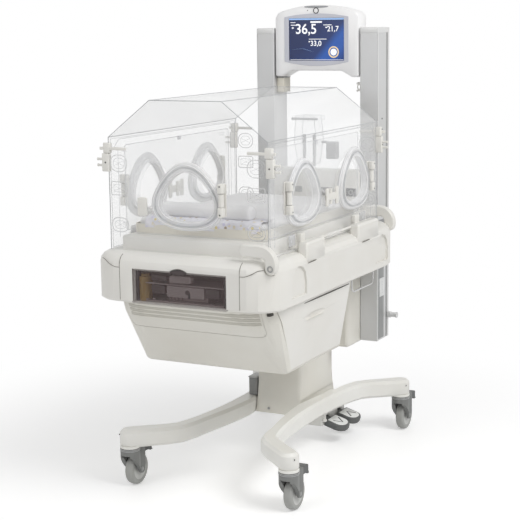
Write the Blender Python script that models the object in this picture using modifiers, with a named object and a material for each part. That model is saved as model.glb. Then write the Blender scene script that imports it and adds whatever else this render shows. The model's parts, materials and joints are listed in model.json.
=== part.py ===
"""Infant incubator on a lifting trolley with four braked casters.

Metres, +Z up, +X to the right, -Y towards the end that carries the humidifier door.
Y is measured here from the outer face of the hood's near end panel. The empty that
carries every piece moves that plane so that the origin lies under the middle of the
outer box. A moving piece has its origin on its joint's axis.
"""
import math

import bmesh
import bpy
from mathutils import Matrix, Vector

# Fits shared by every piece
GAP = 0.0003
RUN = 0.0006
OVERRUN = 0.02
PIN_FIT = 0.0003
WELD = GAP / 30
FLAT_DEGREES = 0.4

# Trolley: two bowed beams, a bridge between them and the column sleeve
CASTER_HALF_SPAN_X = 0.2753
CASTER_HALF_SPAN_Y = 0.4528
BASE_CENTRE_Y = 0.5426
BEAM_BOTTOM_Z = 0.132
BEAM_HEIGHT = 0.056
BEAM_END_WIDTH = 0.062
BEAM_WAIST_WIDTH = 0.047
BEAM_MIDDLE_WIDTH = 0.061
BEAM_ROUNDING = 0.009
BEAM_PATH_SHARES = ((1.0, 1.0), (0.80, 0.895), (0.575, 0.760), (0.488, 0.520), (0.425, 0.235), (0.403, 0.0))
COLLAR_RADIUS = 0.0315
COLLAR_HEIGHT = 0.004
BRIDGE_HALF_X = 0.092
BRIDGE_BOTTOM_Z = 0.136
BRIDGE_HEIGHT = 0.034
BRIDGE_INSET_Y = 0.016

# Column sleeve and the inner column that rises out of it
SLEEVE_HALF_X = 0.080
SLEEVE_FRONT_Y = 0.585
SLEEVE_LENGTH_Y = 0.265
SLEEVE_BOTTOM_Z = 0.140
SLEEVE_TOP_Z = 0.500
SLEEVE_WALL = 0.006
SLEEVE_CORNER = 0.012
SLEEVE_FLARE = 0.016
SLEEVE_FLARE_HEIGHT = 0.100
FLARE_SHARES = ((0.0, 1.0), (0.25, 0.55), (0.55, 0.2), (1.0, 0.0))
COLUMN_OVERLAP = 0.30
FLANGE_MARGIN = 0.022
FLANGE_THICKNESS = 0.012

# Caster: swivelling shroud, wheel and brake lever
WHEEL_DIAMETER = 0.100
WHEEL_WIDTH = 0.028
WHEEL_CROWN = 0.004
WHEEL_RIM_RADIUS = 0.034
WHEEL_DISH = 0.004
WHEEL_HUB_RADIUS = 0.012
AXLE_RADIUS = 0.006
AXLE_BOSS_RADIUS = 0.014
CASTER_TRAIL = 0.034
SHROUD_RADIUS = 0.031
SHROUD_REAR = 0.050
SHROUD_REAR_HALF_X = 0.024
SHROUD_ARCH_DROP = 0.030
SHROUD_WALL = 0.003
SHROUD_ARCH_SHARE = 0.6
WHEEL_HEADROOM = 0.005
WHEEL_SIDE_ROOM = 0.0015
STEM_RADIUS = 0.010
STEM_LENGTH = 0.018
LEVER_PIVOT_Y = 0.043
LEVER_PIVOT_DROP = 0.0195
LEVER_PIN_RADIUS = 0.0025
LEVER_HUB_RADIUS = 0.006
LEVER_REACH = 0.048
LEVER_HALF_WIDTH = 0.018
LEVER_HEIGHT = 0.023
LEVER_TOOTH = 0.006
LEVER_TOP_DROP = 0.0045
LEVER_ROOM = 0.0022

# The origin lies under the middle between the tray's near face and the far brake lever's tooth
FAR_LEVER_Y = BASE_CENTRE_Y + CASTER_HALF_SPAN_Y + SHROUD_REAR + LEVER_REACH + LEVER_TOOTH

# Pedals under the right beam
PEDAL_HINGE_X = 0.074
PEDAL_TIP_X = 0.166
PEDAL_ROOT_X = 0.0925
PEDAL_WIDTH = 0.085
PEDAL_PITCH = 0.098
PEDAL_FIRST_Y = 0.790
PEDAL_TOP_Z = 0.088
PEDAL_THICKNESS = 0.022
PEDAL_ROUNDING = 0.005
PEDAL_DROOP_DEGREES = 16
PEDAL_TIP_SHARE = 0.35
PEDAL_LUG_WIDTH = 0.030
PEDAL_LUG_HEIGHT = 0.013
PEDAL_PIN_RADIUS = 0.003
PEDAL_HOUSING_X = 0.022
PEDAL_HOUSING_MARGIN = 0.006
PEDAL_HOUSING_BOTTOM_Z = 0.058
PEDAL_SLOT_ROOM = 0.0075

# Body tray: the wide ring that holds the hood, the bed and the humidifier
TRAY_HALF_X = 0.305
TRAY_FRONT_Y = -0.058
TRAY_REAR_Y = 0.885
ORIGIN_SETBACK = (TRAY_FRONT_Y + FAR_LEVER_Y) / 2
TRAY_BOTTOM_Z = 0.625
TRAY_HEIGHT = 0.145
TRAY_TOP_Z = TRAY_BOTTOM_Z + TRAY_HEIGHT
TRAY_CORNER = 0.085
TRAY_SHOULDER_RUN = 0.040
TRAY_SHOULDER_DROP = 0.034
TRAY_LIP = 0.010
TRAY_LIP_HEIGHT = 0.007
DECK_INSET_X = 0.073
DECK_HALF_X = TRAY_HALF_X - DECK_INSET_X
DECK_HEIGHT = 0.042
DECK_TOP_Z = TRAY_TOP_Z + DECK_HEIGHT
DECK_INSET_Y = 0.013
DECK_ROUNDING = 0.006
RECESS_WIDTH = 0.100
RECESS_HEIGHT = 0.090
RECESS_DEPTH = 0.007
RECESS_DROP = 0.030
RECESS_TOP_Z = TRAY_TOP_Z - RECESS_DROP
RECESS_CENTRES_Y = (0.112, 0.745)

# Humidifier bay in the tray's near end
BAY_HALF_X = 0.150
BAY_DEPTH = 0.215
BAY_FLOOR_RISE = 0.007
BAY_FLOOR_Z = TRAY_BOTTOM_Z + BAY_FLOOR_RISE
BAY_HEIGHT = 0.090
DOOR_HALF_X = 0.155
DOOR_HEIGHT = 0.1025
DOOR_TOP_Z = TRAY_BOTTOM_Z + DOOR_HEIGHT
DOOR_THICKNESS = 0.0065
DOOR_SIDE_ROOM = 0.0006
DOOR_TAB_HALF_X = 0.029
DOOR_TAB_RISE = 0.009
DOOR_PIVOT_RISE = 0.004
DOOR_PIN_RADIUS = 0.002
DOOR_PIN_LENGTH = 0.004
DOOR_SWING_ROOM = 0.0022
RESERVOIR_RADIUS = 0.020
RESERVOIR_CAP_RADIUS = 0.014
RESERVOIR_HEIGHT = 0.072
RESERVOIR_CAP_HEIGHT = 0.008
RESERVOIR_X = -0.127
RESERVOIR_SETBACK = 0.027
SHELF_RISE = 0.051
SHELF_THICKNESS = 0.0025
SHELF_DEPTH = 0.110
SHELF_SETBACK = 0.009
HEATER_HALF_X = 0.030
HEATER_X = -0.020
HEATER_HEIGHT = 0.022
FILTER_LOW_X = -0.045
FILTER_HIGH_X = 0.085
FILTER_HEIGHT = 0.044
FILTER_DEPTH = 0.085
FILTER_SETBACK = 0.022
FILTER_RIBS = 4
FILTER_RIB_DEPTH = 0.003
FILTER_RIB_SHARE = 0.45
KNOB_RADIUS = 0.010
KNOB_LENGTH = 0.009
KNOB_X = 0.027
KNOB_RISE = 0.026
KNOB_GRIP_SHARE = 0.35

# Belly: the boat-shaped housing below the tray, with two drawers
BELLY_INSET_X = 0.020
BELLY_TAPER_X = 0.040
BELLY_TOP_HALF_X = TRAY_HALF_X - BELLY_INSET_X
BELLY_BOTTOM_HALF_X = BELLY_TOP_HALF_X - BELLY_TAPER_X
BELLY_INSET_Y = 0.024
BELLY_FRONT_TAPER = 0.180
BELLY_TOP_FRONT_Y = TRAY_FRONT_Y + BELLY_INSET_Y
BELLY_BOTTOM_FRONT_Y = BELLY_TOP_FRONT_Y + BELLY_FRONT_TAPER
BELLY_TOP_REAR_Y = 0.550
BELLY_REAR_TAPER = 0.004
BELLY_BOTTOM_REAR_Y = BELLY_TOP_REAR_Y - BELLY_REAR_TAPER
BELLY_HEIGHT = 0.225
BELLY_BOTTOM_Z = TRAY_BOTTOM_Z - BELLY_HEIGHT
BELLY_TOP_CORNER = 0.165
BELLY_WAIST_CORNER = 0.116
BELLY_WAIST_DROP = 0.050
BELLY_WAIST_Z = TRAY_BOTTOM_Z - BELLY_WAIST_DROP
BELLY_FOOT_CORNER = 0.022
BELLY_CORNER_STEPS = 6
BELLY_REAR_CORNER = 0.022
BELLY_FOOT_ROUNDING = 0.010
DRAWER_SKIN = 0.008
DRAWER_ROOM = 0.0008
DRAWER_WALL = 0.003
DRAWER_HEADROOM = 0.003
FRONT_DRAWER_INSET_X = 0.0564
FRONT_DRAWER_HALF_X = BELLY_TOP_HALF_X - FRONT_DRAWER_INSET_X
FRONT_DRAWER_HEIGHT = 0.091
FRONT_DRAWER_BOTTOM_Z = TRAY_BOTTOM_Z - FRONT_DRAWER_HEIGHT
FRONT_DRAWER_CORNER = 0.018
FRONT_TUB_INSET_X = 0.0386
FRONT_TUB_HALF_X = FRONT_DRAWER_HALF_X - FRONT_TUB_INSET_X
FRONT_TUB_LENGTH = 0.300
FRONT_TUB_RISE = 0.011
FRONT_TUB_HEIGHT = 0.060
SIDE_DRAWER_BOTTOM_RISE = 0.013
SIDE_DRAWER_TOP_INSET = 0.081
SIDE_DRAWER_FOOT_INSET = 0.034
SIDE_DRAWER_REAR_INSET = 0.016
SIDE_TUB_LENGTH_X = 0.330
SIDE_TUB_RISE = 0.010
SIDE_TUB_HEIGHT = 0.100
SIDE_TUB_FRONT_INSET = 0.114
SIDE_TUB_REAR_INSET = 0.123
SIDE_GRIP_LENGTH = 0.150
SIDE_GRIP_HEIGHT = 0.024
SIDE_GRIP_DEPTH = 0.005
SIDE_GRIP_Y = 0.282
SIDE_GRIP_DROP = 0.062
SIDE_GRIP_Z = TRAY_BOTTOM_Z - SIDE_GRIP_DROP

# Bed tilt levers at the tray's right corners
SIDE_PROUD = 0.0015
LEVER_PIVOT_INSET = 0.018
LEVER_PIVOT_X = TRAY_HALF_X - LEVER_PIVOT_INSET
TILT_PIVOT_DROP = 0.016
TILT_PIVOT_Z = TRAY_TOP_Z - TILT_PIVOT_DROP
TILT_LEVER_INSET_Y = 0.017
TILT_LEVER_FRONT_Y = TRAY_FRONT_Y + TILT_LEVER_INSET_Y
TILT_LEVER_THICKNESS = 0.022
TILT_LEVER_RISE = 0.049
TILT_LEVER_TOP_Z = TRAY_TOP_Z + TILT_LEVER_RISE
TILT_LEVER_BAND = 0.036
TILT_LEVER_REACH = 0.095
TILT_LEVER_TIP_X = LEVER_PIVOT_X - TILT_LEVER_REACH
TILT_LEVER_OUTER_X = TRAY_HALF_X + SIDE_PROUD
TILT_BOSS_RADIUS = 0.018
TILT_NICHE_ROOM = 0.004
TILT_LEVER_ROUNDING = 0.004

# Bed: tilting carrier, mattress tray, mattress and bolster
BED_INSET_X = 0.010
BED_HALF_X = DECK_HALF_X - BED_INSET_X
BED_FRONT_Y = 0.055
BED_LENGTH = 0.665
CARRIER_THICKNESS = 0.004
BED_TRAY_HEIGHT = 0.026
BED_TRAY_WALL = 0.005
BED_TRAY_FLOOR = 0.003
BED_TRAY_CORNER = 0.030
MATTRESS_HEIGHT = 0.040
MATTRESS_ROUNDING = 0.010
BOLSTER_RADIUS = 0.030
BOLSTER_HALF_LENGTH = 0.165
BOLSTER_SETBACK = 0.045

# Hood: clear six-sided canopy, wall lines at its outer faces
HOOD_INSET_X = 0.0414
HOOD_HALF_X = TRAY_HALF_X - HOOD_INSET_X
HOOD_SLOPE_RUN = 0.1445
HOOD_ROOF_HALF_X = HOOD_HALF_X - HOOD_SLOPE_RUN
HOOD_WALL_HEIGHT = 0.3339
HOOD_SHOULDER_Z = TRAY_TOP_Z + HOOD_WALL_HEIGHT
HOOD_SLOPE_RISE = 0.1106
HOOD_ROOF_Z = HOOD_SHOULDER_Z + HOOD_SLOPE_RISE
HOOD_LENGTH = 0.802
HOOD_WALL = 0.004
HOOD_POST = 0.010
HOOD_EAVE = 0.0055
PANEL_FOOT_RISE = 0.0035
PANEL_ROOM = 0.0008
INNER_WALL_INSET = 0.0261
INNER_WALL_X = HOOD_HALF_X - INNER_WALL_INSET
INNER_WALL_THICKNESS = 0.003
INNER_WALL_FRONT_Y = 0.050
INNER_WALL_LENGTH = 0.650
INNER_WALL_FOOT_RISE = 0.050
INNER_WALL_FOOT_Z = TRAY_TOP_Z + INNER_WALL_FOOT_RISE
INNER_WALL_TOP_DROP = 0.0259
INNER_WALL_TOP_Z = HOOD_SHOULDER_Z - INNER_WALL_TOP_DROP
INNER_WALL_CORNER = 0.009
STANDOFF_RADIUS = 0.006
STANDOFF_INSET = 0.018
PANEL_HINGE_OUT = 0.0114
PANEL_HINGE_X = HOOD_HALF_X + PANEL_HINGE_OUT
PANEL_HINGE_RISE = 0.020
PANEL_HINGE_Z = TRAY_TOP_Z + PANEL_HINGE_RISE
PANEL_ROD_RADIUS = 0.004
PAD_INSET_X = 0.033
PAD_INNER_X = TRAY_HALF_X - PAD_INSET_X
PAD_OUTER_X = TRAY_HALF_X + SIDE_PROUD
PAD_DROP = 0.032
PAD_BOTTOM_Z = TRAY_TOP_Z - PAD_DROP
PAD_RISE = 0.029
PAD_TOP_Z = TRAY_TOP_Z + PAD_RISE
PAD_SPANS_Y = ((0.165, 0.290), (0.548, 0.713))
PAD_ROUNDING = 0.006
KNUCKLE_LENGTH = 0.110
KNUCKLE_HALF_HEIGHT = 0.008
KNUCKLE_OVERHANG = 0.0065

# Hand ports: egg-shaped, wide at the bottom
EGG_TAPER_SHARE = 0.15
PORT_RISE = 0.165
PORT_HEIGHT_Z = TRAY_TOP_Z + PORT_RISE
PORT_OUTER_HALF = 0.1155
PORT_OUTER_HALF_Z = 0.099
PORT_BORE_HALF = 0.088
PORT_BORE_HALF_Z = 0.0725
PORT_NECK_HALF = 0.098
PORT_NECK_HALF_Z = 0.0825
PORT_FLANGE_THICKNESS = 0.0115
PORT_NECK_DEPTH = 0.006
PORT_ROUNDING = 0.004
PORT_DOOR_HALF = 0.100
PORT_DOOR_HALF_Z = 0.0855
PORT_DOOR_THICKNESS = 0.004
HINGE_BLOCK_OFFSET = 0.117
HINGE_BLOCK_HALF = 0.010
HINGE_BLOCK_HEIGHT = 0.095
HINGE_BLOCK_DEPTH = 0.0265
HINGE_BLOCK_ROUNDING = 0.0035
HINGE_BLOCK_FOOT = 0.006
HINGE_PIN_RADIUS = 0.0025
HINGE_PIN_OUT = 0.0150
KNUCKLE_RADIUS = 0.0070
KNUCKLE_HEIGHT = 0.038
KNUCKLE_END_ROOM = 0.0005
EAR_ROOT_HALF = 0.050
FRONT_PORT_X = 0.005
SIDE_PORTS_Y = (0.220, 0.598)
LATCH_OUT = 0.009
LATCH_THICKNESS = 0.006
LATCH_HUB_RADIUS = 0.006
LATCH_HALF_HEIGHT = 0.028
LATCH_SIDE_HALF = 0.046
LATCH_FRONT_HALF = 0.016
LATCH_ROUNDING = 0.002
LATCH_FRONT_X = -0.142
LATCH_DROP = 0.030
LATCH_HEIGHT_Z = PORT_HEIGHT_Z - LATCH_DROP

# Masts, monitor and the housings between the masts
MAST_INNER_X = 0.1612
MAST_WIDTH = 0.0642
MAST_SETBACK = 0.0139
MAST_FRONT_Y = TRAY_REAR_Y + MAST_SETBACK
MAST_DEPTH = 0.1031
MAST_FOOT_DROP = 0.2873
MAST_BOTTOM_Z = TRAY_BOTTOM_Z - MAST_FOOT_DROP
MAST_HEAD_RISE = 0.1937
MAST_TOP_Z = HOOD_ROOF_Z + MAST_HEAD_RISE
MAST_CORNER = 0.005
MAST_SLOT_WIDTH = 0.010
MAST_SLOT_DEPTH = 0.007
MAST_SLOT_SETBACK = 0.078
MONITOR_SIDE_ROOM = 0.0052
MONITOR_HALF_X = MAST_INNER_X - MONITOR_SIDE_ROOM
MONITOR_SETBACK = 0.0011
MONITOR_FRONT_Y = MAST_FRONT_Y + MONITOR_SETBACK
MONITOR_DEPTH = 0.072
MONITOR_FOOT_RISE = 0.0289
MONITOR_FOOT_Z = HOOD_ROOF_Z + MONITOR_FOOT_RISE
MONITOR_ARCH_RISE = 0.0206
MONITOR_ARCH_Z = MONITOR_FOOT_Z + MONITOR_ARCH_RISE
MONITOR_SIDE_HEIGHT = 0.2131
MONITOR_SHOULDER_Z = MONITOR_FOOT_Z + MONITOR_SIDE_HEIGHT
MONITOR_CROWN_RISE = 0.0283
MONITOR_CROWN_Z = MONITOR_SHOULDER_Z + MONITOR_CROWN_RISE
MONITOR_ROUNDING = 0.007
MONITOR_FOOT_SHARE = 0.83
MONITOR_ARCH_SHARE = 0.58
MONITOR_CROWN_SHARE = 0.93
MONITOR_PIVOT_RADIUS = 0.020
MONITOR_PIVOT_RISE = 0.1066
MONITOR_PIVOT_Z = MONITOR_FOOT_Z + MONITOR_PIVOT_RISE
SCREEN_HALF_X = 0.1025
SCREEN_RISE = 0.0551
SCREEN_BOTTOM_Z = MONITOR_FOOT_Z + SCREEN_RISE
SCREEN_HEIGHT = 0.1425
SCREEN_TOP_Z = SCREEN_BOTTOM_Z + SCREEN_HEIGHT
SCREEN_THICKNESS = 0.003
SCREEN_RECESS = 0.0045
BUTTON_RADIUS = 0.0075
BUTTON_RISE = 0.025
BUTTON_Z = SCREEN_TOP_Z + BUTTON_RISE
BUTTON_PROUD = 0.0025
BUTTON_DEPTH = 0.004
BUTTON_TRAVEL = 0.0015
BULKHEAD_DEPTH = 0.045
BULKHEAD_RISE = 0.160
BULKHEAD_TOP_Z = TRAY_TOP_Z + BULKHEAD_RISE
BULKHEAD_ROUNDING = 0.006
REAR_HOUSING_OVERLAP = 0.085
REAR_HOUSING_FRONT_Y = TRAY_REAR_Y - REAR_HOUSING_OVERLAP
REAR_HOUSING_HEIGHT = 0.295
REAR_HOUSING_BOTTOM_Z = TRAY_BOTTOM_Z - REAR_HOUSING_HEIGHT
REAR_HOUSING_ROUNDING = 0.012
SLEEVE_PASSAGE = 0.006

# Small pieces
POD_LOW_X = -0.008
POD_HIGH_X = 0.072
POD_DROP = 0.1464
POD_BOTTOM_Z = HOOD_SHOULDER_Z - POD_DROP
POD_HEIGHT = 0.165
POD_TOP_Z = POD_BOTTOM_Z + POD_HEIGHT
POD_DEPTH = 0.062
POD_BAR_HEIGHT = 0.018
POD_WAIST_SHARE = 0.18
BAIL_INSET_X = 0.043
BAIL_X = TRAY_HALF_X - BAIL_INSET_X
BAIL_FRONT_Y = 0.592
BAIL_REAR_Y = 0.770
BAIL_DROP = 0.054
BAIL_RADIUS = 0.003
BAIL_BEND = 0.018

ROUND_STEPS = 16
WHEEL_STEPS = 16
EGG_STEPS = 20
ARC_STEPS = 4

# Finishes: colour, roughness, metallic, alpha
IVORY = ((0.78, 0.765, 0.71), 0.42, 0.0, 1.0)
WARM_WHITE = ((0.83, 0.825, 0.80), 0.38, 0.0, 1.0)
BEAM_WHITE = ((0.70, 0.70, 0.66), 0.35, 0.0, 1.0)
COOL_GREY = ((0.62, 0.63, 0.63), 0.30, 0.2, 1.0)
MID_GREY = ((0.19, 0.20, 0.19), 0.50, 0.0, 1.0)
WHEEL_GREY = ((0.24, 0.25, 0.24), 0.55, 0.0, 1.0)
DARK_RUBBER = ((0.13, 0.14, 0.14), 0.70, 0.0, 1.0)
STEEL = ((0.60, 0.60, 0.60), 0.30, 1.0, 1.0)
CLEAR = ((0.93, 0.94, 0.96), 0.05, 0.0, 0.25)
CUFF = ((0.80, 0.80, 0.86), 0.25, 0.0, 0.8)
SMOKE = ((0.10, 0.06, 0.06), 0.08, 0.0, 0.5)
AMBER = ((0.35, 0.22, 0.06), 0.20, 0.0, 0.9)
MAUVE = ((0.30, 0.24, 0.24), 0.40, 0.0, 1.0)
CREAM = ((0.80, 0.78, 0.70), 0.50, 0.0, 1.0)
LINEN = ((0.88, 0.88, 0.88), 0.90, 0.0, 1.0)
SCREEN_BLUE = ((0.02, 0.06, 0.30), 0.10, 0.0, 1.0)


# Modelling helpers

def start_clean():
    """Remove what the file holds, and make the part's collection and its root empty."""
    for item in list(bpy.data.objects):
        bpy.data.objects.remove(item, do_unlink=True)
    collection = bpy.data.collections.new("infant_incubator")
    bpy.context.scene.collection.children.link(collection)
    cutters = bpy.data.collections.new("cutters")
    bpy.context.scene.collection.children.link(cutters)
    root = bpy.data.objects.new("incubator_origin", None)
    root.location = (0, -ORIGIN_SETBACK, 0)
    collection.objects.link(root)
    return collection, cutters, root


PARTS, CUTTERS, ROOT = start_clean()
PIVOTS = {ROOT: Vector((0, 0, 0))}


def show(data, name="shape"):
    """Link new data as an object of the part's collection."""
    item = bpy.data.objects.new(name, data)
    PARTS.objects.link(item)
    return item


def bake(item):
    """Turn an object into a plain welded mesh, with its matrix and modifiers applied."""
    bpy.context.view_layer.update()
    depsgraph = bpy.context.evaluated_depsgraph_get()
    mesh = bpy.data.meshes.new_from_object(item.evaluated_get(depsgraph))
    mesh.transform(item.matrix_world)
    work = bmesh.new()
    work.from_mesh(mesh)
    bmesh.ops.remove_doubles(work, verts=work.verts, dist=WELD)
    bmesh.ops.recalc_face_normals(work, faces=work.faces)
    work.to_mesh(mesh)
    work.free()
    mesh.materials.clear()
    name = item.name
    bpy.data.objects.remove(item, do_unlink=True)
    return show(mesh, name)


def flatten(item):
    """Join the coplanar triangles of a filled outline into whole faces."""
    work = bmesh.new()
    work.from_mesh(item.data)
    bmesh.ops.dissolve_limit(work, angle_limit=math.radians(FLAT_DEGREES), verts=work.verts, edges=work.edges)
    work.to_mesh(item.data)
    work.free()
    return item


def rounded(item, width, segments=2, angle=40):
    """Round the edges sharper than the angle."""
    if width <= 0:
        return item
    bevel = item.modifiers.new("rounding", "BEVEL")
    bevel.width = width
    bevel.segments = segments
    bevel.limit_method = "ANGLE"
    bevel.angle_limit = math.radians(angle)
    return bake(item)


def boolean(item, other, operation):
    """Combine two closed meshes and remove the second."""
    CUTTERS.objects.link(other)
    PARTS.objects.unlink(other)
    other.hide_render = True
    other.display_type = "WIRE"
    step = item.modifiers.new("combine", "BOOLEAN")
    step.operation = operation
    step.object = other
    result = bake(item)
    bpy.data.objects.remove(other, do_unlink=True)
    return result


def join(item, *others):
    for other in others:
        item = boolean(item, other, "UNION")
    return item


def cut(item, *others):
    for other in others:
        item = boolean(item, other, "DIFFERENCE")
    return item


def common(item, *others):
    for other in others:
        item = boolean(item, other, "INTERSECT")
    return item


def twin(item):
    """A second object with its own copy of the mesh."""
    return show(item.data.copy())


def block(low, high, rounding=0, segments=2):
    """A box between two corners."""
    work = bmesh.new()
    bmesh.ops.create_cube(work, size=1)
    size = [b - a for a, b in zip(low, high)]
    middle = [(a + b) / 2 for a, b in zip(low, high)]
    bmesh.ops.scale(work, vec=size, verts=work.verts)
    bmesh.ops.translate(work, vec=middle, verts=work.verts)
    mesh = bpy.data.meshes.new("block")
    work.to_mesh(mesh)
    work.free()
    return rounded(show(mesh), rounding, segments)


TURN_TO_AXIS = {
    "x": Matrix.Rotation(math.pi / 2, 4, "Y"),
    "y": Matrix.Rotation(-math.pi / 2, 4, "X"),
    "z": Matrix.Identity(4),
}


def rod(centre, radius, low, high, axis, steps=ROUND_STEPS, end_radius=None):
    """A cylinder or cone along an axis, from low to high, round the centre's other two values."""
    work = bmesh.new()
    last = radius if end_radius is None else end_radius
    length = high - low
    bmesh.ops.create_cone(work, cap_ends=True, segments=steps, radius1=radius, radius2=last, depth=length)
    bmesh.ops.transform(work, matrix=TURN_TO_AXIS[axis], verts=work.verts)
    place_at = Vector(centre)
    place_at["xyz".index(axis)] = (low + high) / 2
    bmesh.ops.translate(work, vec=place_at, verts=work.verts)
    mesh = bpy.data.meshes.new("rod")
    work.to_mesh(mesh)
    work.free()
    return show(mesh)


OUTLINE_TO_WORLD = {
    "x": Matrix(((0, 0, 1, 0), (1, 0, 0, 0), (0, 1, 0, 0), (0, 0, 0, 1))),
    "y": Matrix(((1, 0, 0, 0), (0, 0, -1, 0), (0, 1, 0, 0), (0, 0, 0, 1))),
    "z": Matrix.Identity(4),
}


def slab(outline, axis, low, high, rounding=0, holes=(), segments=2):
    """A flat outline, in the two other axes, thickened from low to high along the axis."""
    curve = bpy.data.curves.new("outline", "CURVE")
    curve.dimensions = "2D"
    curve.fill_mode = "BOTH"
    curve.extrude = (high - low) / 2
    for ring in (outline, *holes):
        spline = curve.splines.new("POLY")
        spline.points.add(len(ring) - 1)
        for point, (a, b) in zip(spline.points, ring):
            point.co = (a, b, 0, 1)
        spline.use_cyclic_u = True
    item = show(curve)
    middle = Vector((0, 0, 0))
    middle["xyz".index(axis)] = (low + high) / 2
    item.matrix_world = Matrix.Translation(middle) @ OUTLINE_TO_WORLD[axis]
    return rounded(flatten(bake(item)), rounding, segments)


def arc(centre, radius, start, end, steps=ARC_STEPS):
    """Points on a circle between two angles in degrees."""
    points = []
    for i in range(steps + 1):
        angle = math.radians(start + (end - start) * i / steps)
        points.append((centre[0] + radius * math.cos(angle), centre[1] + radius * math.sin(angle)))
    return points


def round_box(low, high, radius, steps=ARC_STEPS, far_radius=None):
    """A rectangle with round corners; far_radius is for the two corners at the high second value."""
    far = radius if far_radius is None else far_radius
    (a, b), (c, d) = low, high
    near_pair = ((a + radius, b + radius), (c - radius, b + radius))
    far_pair = ((a + far, d - far), (c - far, d - far))
    return (arc(near_pair[1], radius, -90, 0, steps) + arc(far_pair[1], far, 0, 90, steps)
            + arc(far_pair[0], far, 90, 180, steps) + arc(near_pair[0], radius, 180, 270, steps))


def egg(half_width, half_height, centre=(0, 0), steps=EGG_STEPS):
    """An egg outline, x = a cos t (1 - k sin t), z = b sin t, wide at the bottom."""
    points = []
    for i in range(steps):
        t = 2 * math.pi * i / steps
        across = half_width * math.cos(t) * (1 - EGG_TAPER_SHARE * math.sin(t))
        points.append((centre[0] + across, centre[1] + half_height * math.sin(t)))
    return points


def loft(rings):
    """A closed skin over rings that have the same number of points."""
    work = bmesh.new()
    rows = [[work.verts.new(point) for point in ring] for ring in rings]
    count = len(rows[0])
    for lower, upper in zip(rows, rows[1:]):
        for i in range(count):
            j = (i + 1) % count
            work.faces.new((lower[i], lower[j], upper[j], upper[i]))
    work.faces.new(list(reversed(rows[0])))
    work.faces.new(rows[-1])
    mesh = bpy.data.meshes.new("loft")
    work.to_mesh(mesh)
    work.free()
    return bake(show(mesh))


def turned(profile, steps):
    """A closed body of revolution round Z; the profile runs down the +X side and ends on the axis."""
    mesh = bpy.data.meshes.new("profile")
    edges = [(i, i + 1) for i in range(len(profile) - 1)]
    mesh.from_pydata([(r, 0, z) for r, z in profile], edges, [])
    item = show(mesh)
    screw = item.modifiers.new("turn", "SCREW")
    screw.axis = "Z"
    screw.steps = steps
    screw.render_steps = steps
    screw.use_merge_vertices = True
    screw.merge_threshold = WELD
    return bake(item)


def wire(points, radius, resolution=2):
    """A round bar with filled ends along points."""
    curve = bpy.data.curves.new("wire", "CURVE")
    curve.dimensions = "3D"
    curve.bevel_depth = radius
    curve.bevel_resolution = resolution
    curve.use_fill_caps = True
    spline = curve.splines.new("POLY")
    spline.points.add(len(points) - 1)
    for point, place_at in zip(spline.points, points):
        point.co = (*place_at, 1)
    return bake(show(curve))


def moved(item, matrix):
    """Move a plain mesh by a matrix and keep its faces pointing out."""
    item.data.transform(matrix)
    return bake(item)


def smooth_path(points, steps):
    """A Catmull-Rom curve through plane points."""
    ends = [points[0], *points, points[-1]]
    path = []
    for i in range(len(points) - 1):
        a, b, c, d = [Vector(p) for p in ends[i:i + 4]]
        for k in range(steps):
            t = k / steps
            path.append(((2 * b) + (c - a) * t + (2 * a - 5 * b + 4 * c - d) * t * t
                         + (3 * b - a - 3 * c + d) * t ** 3) / 2)
    path.append(Vector(points[-1]))
    return path


def finish(item, name, look, pivot=(0, 0, 0), parent=None):
    """Name a piece, give it its material, and set its origin on its pivot under its parent."""
    colour, roughness, metallic, alpha = look
    material = bpy.data.materials.new(name + "_finish")
    material.use_nodes = True
    shader = material.node_tree.nodes["Principled BSDF"]
    shader.inputs["Base Color"].default_value = (*colour, 1)
    shader.inputs["Roughness"].default_value = roughness
    shader.inputs["Metallic"].default_value = metallic
    shader.inputs["Alpha"].default_value = alpha
    item.data.materials.append(material)
    item.data.transform(Matrix.Translation(-Vector(pivot)))
    item.data.shade_smooth()
    item.data.set_sharp_from_angle(angle=math.radians(30))
    item.name = name
    item.data.name = name
    holder = ROOT if parent is None else parent
    item.parent = holder
    item.location = Vector(pivot) - PIVOTS[holder]
    PIVOTS[item] = Vector(pivot)
    return item


# Trolley base

def beam(side):
    """One bowed beam: a ribbon of changing width, mirrored fore and aft, with round ends."""
    path = [(side * CASTER_HALF_SPAN_X * a, CASTER_HALF_SPAN_Y * b) for a, b in BEAM_PATH_SHARES]
    far = [(x, BASE_CENTRE_Y + y) for x, y in path]
    near = [(x, BASE_CENTRE_Y - y) for x, y in path]
    centre = smooth_path(near + far[-2::-1], 2)
    last = len(centre) - 1
    left, right = [], []
    for i, point in enumerate(centre):
        ahead = centre[min(i + 1, last)] - centre[max(i - 1, 0)]
        across = Vector((-ahead.y, ahead.x)).normalized()
        reach = abs(point.y - BASE_CENTRE_Y) / CASTER_HALF_SPAN_Y
        waist = 1 - abs(2 * reach - 1)
        straight = BEAM_MIDDLE_WIDTH + (BEAM_END_WIDTH - BEAM_MIDDLE_WIDTH) * reach
        half = (straight + (BEAM_WAIST_WIDTH - straight) * waist) / 2
        left.append(point + across * half)
        right.append(point - across * half)
    near_way = centre[0] - centre[1]
    far_way = centre[last] - centre[last - 1]
    near_angle = math.degrees(math.atan2(near_way.y, near_way.x))
    far_angle = math.degrees(math.atan2(far_way.y, far_way.x))
    near_end = arc(centre[0], BEAM_END_WIDTH / 2, near_angle - 90, near_angle + 90, 6)
    far_end = arc(centre[last], BEAM_END_WIDTH / 2, far_angle - 90, far_angle + 90, 6)
    outline = right[1:last] + far_end + left[last - 1:0:-1] + near_end
    return slab(outline, "z", BEAM_BOTTOM_Z, BEAM_BOTTOM_Z + BEAM_HEIGHT, BEAM_ROUNDING, segments=1)


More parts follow.
